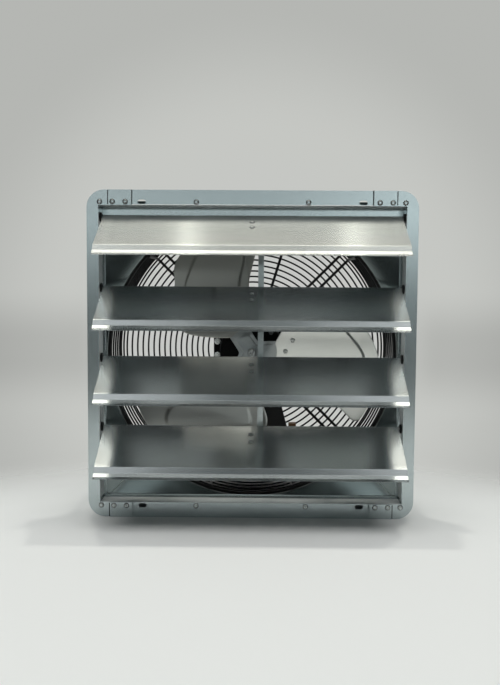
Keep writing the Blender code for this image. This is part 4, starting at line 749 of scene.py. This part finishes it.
clamps = Shell()
for i in range(4):
    angle = math.radians(45 + 90 * i)
    seat = Matrix.Translation((CLAMP_REACH * math.cos(angle), FRONT_FACE, CLAMP_REACH * math.sin(angle)))
    clamps.lathe(CLAMP_HEAD, 6, seat)
clamps.piece("clamp_bolts", "frame", DARK_STEEL_AND_SHADOW, slot="plain_steel", sharp=30)

for i, (sx, sz) in enumerate(CORNERS):
    seat = Matrix.Translation((sx * BOLT_PLACE[0], REAR_FACE, sz * BOLT_PLACE[1]))
    bolt = Shell().lathe(BOLT_HEAD, 32, seat).lathe(BOLT_SHANK, 24, seat)
    bolt.piece(f"plate_bolt_{i + 1}", "frame", PLATED, (f"motor_bolt_{i + 1}",), "plain_steel", 35)


# Wheel, made about its axis and then turned to its rest place

WHEEL = Matrix.Rotation(math.radians(-WHEEL_DEGREES), 4, "Y")
THIRDS = [Matrix.Rotation(-2 * math.pi * i / 3, 4, "Y") for i in range(3)]

# A blade's outline: share of its radius, and the angles of its lower and upper edge in degrees
EDGES = (
    (0.19, -19.0, 19.0), (0.22, -26.0, 27.0), (0.30, -27.5, 35.5), (0.43, -29.0, 40.5), (0.55, -30.0, 40.0),
    (0.66, -32.5, 30.0), (0.77, -34.5, 17.0), (0.88, -36.0, 9.5), (0.95, -36.8, -1.0), (0.985, -35.6, -8.0),
    (1.0, -33.0, -14.0),
)
PITCH_ROOT = 0.25
PITCH_FALL = 0.06
BLADE_DEPTH = 0.0745
BLADE_CAMBER = 0.006
BLADE_HALF_SHEET = 0.0008
BLADE_ROWS = 90
BLADE_COLUMNS = 80
ROOT_RADIUS = 0.0423
# The pressed field: its margins from the lower, upper and outer edge, its corners, rise and ridge
FIELD_MARGINS = (0.0175, 0.0290, 0.0290)
FIELD_CORNER = 0.042
FIELD_RISE = 0.0026
FIELD_STEP = (-0.0020, 0.0024)
FIELD_FADE = (0.076, 0.125)
RIDGE_RISE = 0.0008
RIDGE_WIDTH = 0.0018
RIM_ROUND = 0.0005
RIM_WIDTH = 0.0012


def curve_value(values, t):
    """A value between table entries on a smooth curve through them."""
    i = min(int(t), len(values) - 2)
    f = t - i
    a = values[max(i - 1, 0)]
    b = values[i]
    c = values[i + 1]
    d = values[min(i + 2, len(values) - 1)]
    return 0.5 * (2 * b + (c - a) * f + (2 * a - 5 * b + 4 * c - d) * f ** 2 + (3 * b - a - 3 * c + d) * f ** 3)


def slope(share):
    """The blade's pitch, which falls a little towards the tip."""
    return PITCH_ROOT - PITCH_FALL * share


def blade_depth(x, z):
    share = math.hypot(x, z) / BLADE_RADIUS
    return BLADE_DEPTH - slope(share) * z + BLADE_CAMBER * (z / BLADE_RADIUS) ** 2


def blade_relief(margins, x):
    """How far the pressed field and its ridge stand out."""
    inside = [margin - kept for margin, kept in zip(margins, FIELD_MARGINS)]
    depth = FIELD_CORNER - math.sqrt(sum(max(FIELD_CORNER - a, 0) ** 2 for a in inside))
    relief = FIELD_RISE * smooth_step(depth, *FIELD_STEP) + RIDGE_RISE * math.exp(-(depth / RIDGE_WIDTH) ** 2)
    return relief * smooth_step(x, *FIELD_FADE)


def blade_side(offset):
    """The grid of points of a blade's front or back."""
    shares, lows, highs = zip(*EDGES)
    grid = []
    for i in range(BLADE_ROWS + 1):
        t = (len(EDGES) - 1) * i / BLADE_ROWS
        radius = BLADE_RADIUS * min(1.0, curve_value(shares, t))
        low = curve_value(lows, t)
        high = curve_value(highs, t)
        line = []
        for k in range(BLADE_COLUMNS + 1):
            degrees = low + (high - low) * k / BLADE_COLUMNS
            x = radius * math.cos(math.radians(degrees))
            z = radius * math.sin(math.radians(degrees))
            margins = (radius * math.radians(degrees - low), radius * math.radians(high - degrees),
                       BLADE_RADIUS - radius)
            rim = 1 - smooth_step(min(*margins, radius - ROOT_RADIUS), 0, RIM_WIDTH)
            rim *= RIM_ROUND * (1 if offset < 0 else -1)
            line.append((x, blade_depth(x, z) + offset - blade_relief(margins, x) + rim, z))
        grid.append(line)
    return grid


def blade_piece(index, material):
    """One blade: a pressed sheet with a raised field and a rolled-over edge."""
    rows, columns = BLADE_ROWS, BLADE_COLUMNS
    sides = [blade_side(-BLADE_HALF_SHEET), blade_side(BLADE_HALF_SHEET)]
    place = WHEEL @ THIRDS[index]
    shell = Shell()
    for grid in sides:
        shell.loops(grid, closed_ring=False, place=place)
    border = [(i, 0) for i in range(rows + 1)] + [(rows, k) for k in range(1, columns + 1)]
    border += [(i, columns) for i in range(rows - 1, -1, -1)] + [(0, k) for k in range(columns - 1, 0, -1)]
    shell.loops([[grid[i][k] for i, k in border] for grid in sides], place=place)
    name = f"blade_{index + 1}"
    shell.piece(f"fan_{name}", "wheel", material, (name,), "mill_aluminium", 55)


# The right blade in the plain sheet, the other two in darker copies that paint their shade
for index, material in enumerate((BLADE_SHEET, PAINTED_SHADE_UPPER_BLADE, PAINTED_SHADE_LOWER_BLADE)):
    blade_piece(index, material)

ARM_HALF = 0.018
SPIDER_THICK = 0.0025
SPIDER_BORE = 0.0080
SPIDER_REACH = 0.082
SPIDER_DEPTH = 0.0756
SPIDER_STEPS = 216
SPIDER_ROWS = 34
# How sharply the arms' edges are joined, and where they widen, rise and twist
ARM_JOIN = 12
TIP_JOIN = 10
ARM_WIDENS = (0.045, 0.062)
ARM_WIDER = 0.4
ARM_LIFT = 0.0011
ARM_LIFT_EDGE = (0.0050, 0.0072)
ARM_LIFT_END = (0.0300, 0.0335)
BOSS_LIFT = 0.0006
BOSS_EDGE = (0.0105, 0.0120)
TWIST = (0.024, 0.041)
RIVET_PLACES = ((0.057, 0), (0.070, 0.0185), (0.070, -0.0185))
RIVET_SINK = 0.0002
BLADE_RIVET = [(0, -0.0019), (0.0011, -0.00185), (0.0022, -0.0015), (0.0033, -0.0009), (0.0040, -0.0003),
               (0.0041, 0.0004)]
HUB = [(0.0066, 0.0784), (0.0155, 0.0784), (0.0165, 0.0794), (0.0165, 0.0900), (0.0156, 0.0909), (0.0066, 0.0909)]


def spider_side(offset):
    """The grid of points of the spider's front or back."""
    third = 2 * math.pi / 3
    grid = []
    for i in range(SPIDER_ROWS + 1):
        line = []
        for k in range(SPIDER_STEPS):
            angle = 2 * math.pi * k / SPIDER_STEPS
            nearest = angle - third * round(angle / third)
            sine = max(abs(math.sin(nearest)), 1e-4)
            other = max(abs(math.sin(third - abs(nearest))), 1e-4)
            edge = ((ARM_HALF / sine) ** ARM_JOIN + (ARM_HALF / other) ** ARM_JOIN) ** (1 / ARM_JOIN)
            edge *= 1 + ARM_WIDER * smooth_step(edge, *ARM_WIDENS)
            edge = (edge ** -TIP_JOIN + SPIDER_REACH ** -TIP_JOIN) ** (-1 / TIP_JOIN)
            radius = SPIDER_BORE + (edge - SPIDER_BORE) * i / SPIDER_ROWS
            x = radius * math.cos(nearest)
            z = radius * math.sin(nearest)
            inside = ARM_HALF - abs(z)
            if radius < ARM_LIFT_END[0]:
                inside = max(inside, ARM_HALF - radius * other)
            lift = ARM_LIFT * smooth_step(inside, *ARM_LIFT_EDGE) * (1 - smooth_step(radius, *ARM_LIFT_END))
            lift += BOSS_LIFT * (1 - smooth_step(radius, *BOSS_EDGE))
            pitch = BLADE_CAMBER * (z / BLADE_RADIUS) ** 2 - slope(x / BLADE_RADIUS) * z
            depth = SPIDER_DEPTH + smooth_step(x, *TWIST) * pitch
            line.append((radius * math.cos(angle), depth + offset - lift, radius * math.sin(angle)))
        grid.append(line)
    return grid


def spider_piece():
    """The pressed spider: three arms with curved roots, a raised middle and a bore."""
    front = spider_side(0.0)
    back = spider_side(SPIDER_THICK)
    shell = Shell()
    for rings in (front, back, [front[-1], back[-1]], [front[0], back[0]]):
        shell.loops(rings, place=WHEEL)
    return shell


spider_piece().piece("spider", "wheel", SPIDER_STEEL, ("wheel_spider",), "grey_casting", 42)

rivets = Shell()
for turn in THIRDS:
    for x, z in RIVET_PLACES:
        pitch = slope(x / BLADE_RADIUS)
        seat = Matrix.Translation((x, BLADE_DEPTH - pitch * z - BLADE_HALF_SHEET - RIVET_SINK, z))
        seat = seat @ Matrix.Rotation(math.atan(pitch), 4, "X")
        rivets.lathe(BLADE_RIVET, 24, WHEEL @ turn @ seat)
rivets.piece("blade_rivets", "wheel", PLATED, slot="plain_steel", sharp=60)

Shell().lathe(HUB, 48, closed=True).piece("hub", "wheel", SPIDER_STEEL, ("wheel_hub",), "grey_casting", 35)

SHAFT_RADIUS = 0.00635
SHAFT_FACE = 0.0588
SHAFT_SHOULDER = 0.0594
SHAFT_BACK = 0.1654
FACE_RADIUS = 0.0057
FACE_RINGS = 8
SHAFT_STEPS = 64
SLOT_DEEP = 0.0014
SLOT_EDGE = (0.0008, 0.0011)


def slot_depth(x, z):
    """How deep the slot across the shaft's end is at a point."""
    return SLOT_DEEP * (1 - smooth_step(abs(x - z) / math.sqrt(2), *SLOT_EDGE))


rings = []
for k in range(FACE_RINGS + 1):
    face = circle(FACE_RADIUS * k / FACE_RINGS, SHAFT_FACE, SHAFT_STEPS)
    rings.append([(x, y + slot_depth(x, z), z) for x, y, z in face])
rings += [circle(SHAFT_RADIUS, depth, SHAFT_STEPS) for depth in (SHAFT_SHOULDER, SHAFT_BACK)]
Shell().loops(rings).piece("shaft", "wheel", BARE_STEEL, ("motor_shaft",), "plain_steel", 30)


# Floor, backdrop and shade

BACKGROUND = (0.462, 0.471, 0.451)
GLOW_MIDDLE = (0.56, 0.57, 0.55)
GLOW_AROUND = (0.56, 0.57, 0.545)
BAND_HEIGHT = -0.13
BAND_STRENGTH = 0.80
FLOOR_GAP = 0.0002


def stage_plane(name, corners, place, shader):
    """A stage object whose surface comes from a function that is given its node tree."""
    material = bpy.data.materials.new(name)
    material.use_nodes = True
    material.node_tree.nodes.clear()
    graph = Graph(material.node_tree)
    graph.node("OutputMaterial", {"Surface": shader(graph)})
    mesh = bpy.data.meshes.new(name)
    mesh.from_pydata(corners, [], [tuple(range(len(corners)))])
    mesh.materials.append(material)
    obj = bpy.data.objects.new(name, mesh)
    bpy.context.scene.collection.objects.link(obj)
    obj.location = place
    return obj


def floor_shader(graph):
    """Pale and matt, and gone towards its edge."""
    matt = graph.node("BsdfDiffuse", {"Color": (0.80, 0.81, 0.80, 1)}).outputs["BSDF"]
    clear = graph.node("BsdfTransparent").outputs["BSDF"]
    share = graph.radial(0.62, 1.0, (0, -0.45, 0))
    return graph.node("MixShader", {"Fac": share, 1: matt, 2: clear}).outputs["Shader"]


def backdrop_shader(graph):
    """A glow behind the fan that falls to the background, a little dimmer in a band at both sides."""
    middle = graph.mix(graph.radial(0.50, 0.85), GLOW_MIDDLE, GLOW_AROUND)
    colour = graph.mix(graph.radial(0.85, 1.45), middle, BACKGROUND)
    way = graph.node("SeparateXYZ", {"Vector": graph.coordinate("Object")}).outputs
    across = graph.math("ABSOLUTE", way["X"])
    height = graph.math("ABSOLUTE", graph.math("SUBTRACT", way["Z"], BAND_HEIGHT))
    band = graph.math("MULTIPLY", graph.ramp(across, 0.60, 0.85, 0, 1, True),
                      graph.ramp(height, 0.04, 0.30, 1, 0, True))
    strength = graph.ramp(band, 0, 1, 1, BAND_STRENGTH)
    return graph.node("Emission", {"Color": colour, "Strength": strength}).outputs["Emission"]


def dark_shader(graph):
    """Nearly black and matt."""
    return graph.node("BsdfDiffuse", {"Color": (0.02, 0.02, 0.02, 1)}).outputs["BSDF"]


FLOOR_CORNERS = [(-1.6, -1.6, 0), (1.6, -1.6, 0), (1.6, 1.6, 0), (-1.6, 1.6, 0)]
BACKDROP_CORNERS = [(-1.5, 0, -1.5), (1.5, 0, -1.5), (1.5, 0, 1.5), (-1.5, 0, 1.5)]
FLAG_CORNERS = [(-0.25, 0.04, 0), (0.25, 0.04, 0), (0.25, 0.70, 0), (-0.25, 0.70, 0)]

stage_plane("floor", FLOOR_CORNERS, (0, 0, FLOOR - FLOOR_GAP), floor_shader)
backdrop = stage_plane("backdrop", BACKDROP_CORNERS, (0, 2.4, -0.05), backdrop_shader)
backdrop.visible_diffuse = False
# Keeps light off the floor behind the fan
flag = stage_plane("flag", FLAG_CORNERS, (0, 0, -0.25), dark_shader)
flag.visible_camera = False
flag.visible_glossy = False


# World: plain for the camera, and a dim room for light and reflections

BASE_LIGHT = 0.045


def room_strength(graph):
    """A low bright strip in front, stronger at both sides, and a wall behind."""
    way = graph.node("SeparateXYZ", {"Vector": graph.coordinate("Generated")}).outputs
    x, y, z = way["X"], way["Y"], way["Z"]
    parts = (
        # Lower and upper edge, and the ends
        (z, 0.02, 0.08, 0, 1.2), (z, 0.12, 0.18, 1, 0), (graph.math("ABSOLUTE", x), 0.22, 0.36, 1, 0.03),
        # Only in front, brighter on the right and on the left
        (y, -0.1, 0.1, 1, 0), (x, 0.03, 0.16, 1, 2.0), (x, -0.2, -0.09, 1.5, 1),
    )
    strip = graph.ramp(*parts[0], True)
    for part in parts[1:]:
        strip = graph.math("MULTIPLY", strip, graph.ramp(*part, True))
    wall = graph.math("MULTIPLY", graph.ramp(y, 0.1, 0.4, 0, 0.95, True), graph.ramp(z, 0.5, 0.8, 1, 0, True))
    return graph.math("ADD", graph.math("ADD", strip, wall), BASE_LIGHT)


world = bpy.data.worlds.new("studio")
bpy.context.scene.world = world
world.use_nodes = True
world.node_tree.nodes.clear()
graph = Graph(world.node_tree)
fill = graph.node("Background", {"Color": (0.90, 0.99, 1.0, 1), "Strength": room_strength(graph)})
seen = graph.node("Background", {"Color": (*BACKGROUND, 1)})
camera_ray = graph.node("LightPath").outputs["Is Camera Ray"]
blend = graph.node("MixShader", {"Fac": camera_ray, 1: fill.outputs["Background"], 2: seen.outputs["Background"]})
graph.node("OutputWorld", {"Surface": blend.outputs["Shader"]})


# Lights

# Name, place, target, size, power, colour and the rays that don't see it
LIGHTS = (
    ("ceiling_strip", (0, 0.1, 2.4), (0, 0.1, 0), (1.7, 0.7), 14, (1.0, 0.97, 0.86), "diffuse"),
    ("front_left", (-1.25, -1.3, 2.3), (0, -0.1, 0), (1.9, 1.3), 5.5, (0.95, 0.99, 1.0), "diffuse"),
    ("front_right", (1.25, -1.3, 2.3), (0, -0.1, 0), (1.9, 1.3), 5.5, (0.95, 0.99, 1.0), "diffuse"),
    ("front_middle", (0, -1.3, 2.3), (0, -0.1, 0), (0.8, 1.3), 0.45, (0.90, 0.99, 1.0), "diffuse"),
    ("front_ceiling", (0, -0.38, 2.4), (0, -0.38, 0), (1.7, 0.5), 3.0, (0.97, 1.0, 0.97), "diffuse"),
    ("softbox", (0, -0.7, 2.5), (0, -0.2, 0), (3.0, 2.0), 53, (1.0, 1.0, 0.99), "glossy"),
    ("lamp_left", (-0.477, 0.55, 4.5), (0, 0, 0), (0.16, 0.16), 32, (1.0, 0.99, 0.92), "glossy"),
    ("spark_left", (-0.477, 0.45, 4.5), (-0.477, 0.45, 0), (0.026, 0.6), 3.7, (1.0, 0.98, 0.86), "diffuse"),
    ("lamp_right", (0.658, 0.55, 4.5), (0, 0, 0), (0.16, 0.16), 32, (1.0, 0.99, 0.92), "glossy"),
    ("spark_right", (0.658, 0.45, 4.5), (0.658, 0.45, 0), (0.026, 0.6), 3.7, (1.0, 0.98, 0.86), "diffuse"),
)

for name, place, target, size, power, colour, unseen in LIGHTS:
    light = bpy.data.lights.new(name, "AREA")
    light.shape = "RECTANGLE"
    light.size, light.size_y = size
    light.energy = power
    light.color = colour
    obj = bpy.data.objects.new(name, light)
    bpy.context.scene.collection.objects.link(obj)
    obj.location = place
    obj.rotation_mode = "QUATERNION"
    obj.rotation_quaternion = (Vector(target) - Vector(place)).to_track_quat("-Z", "Y")
    setattr(obj, f"visible_{unseen}", False)


# Camera

LENS = 42.04
SENSOR = 36
CAMERA_PLACE = (0.0116, -1.2818, 0.1099)
# From looking down: raised to level, rolled, tilted down and swung a little to the left
CAMERA_TURNS = ((0.63, "Z"), (-3.92, "X"), (-0.36, "Y"), (90, "X"))

camera = bpy.data.cameras.new("camera")
camera.lens = LENS
camera.sensor_width = SENSOR
camera_object = bpy.data.objects.new("camera", camera)
bpy.context.scene.collection.objects.link(camera_object)
pose = Matrix.Translation(CAMERA_PLACE)
for degrees, axis in CAMERA_TURNS:
    pose = pose @ Matrix.Rotation(math.radians(degrees), 4, axis)
camera_object.matrix_world = pose
bpy.context.scene.camera = camera_object
bpy.context.scene.view_settings.view_transform = "Standard"
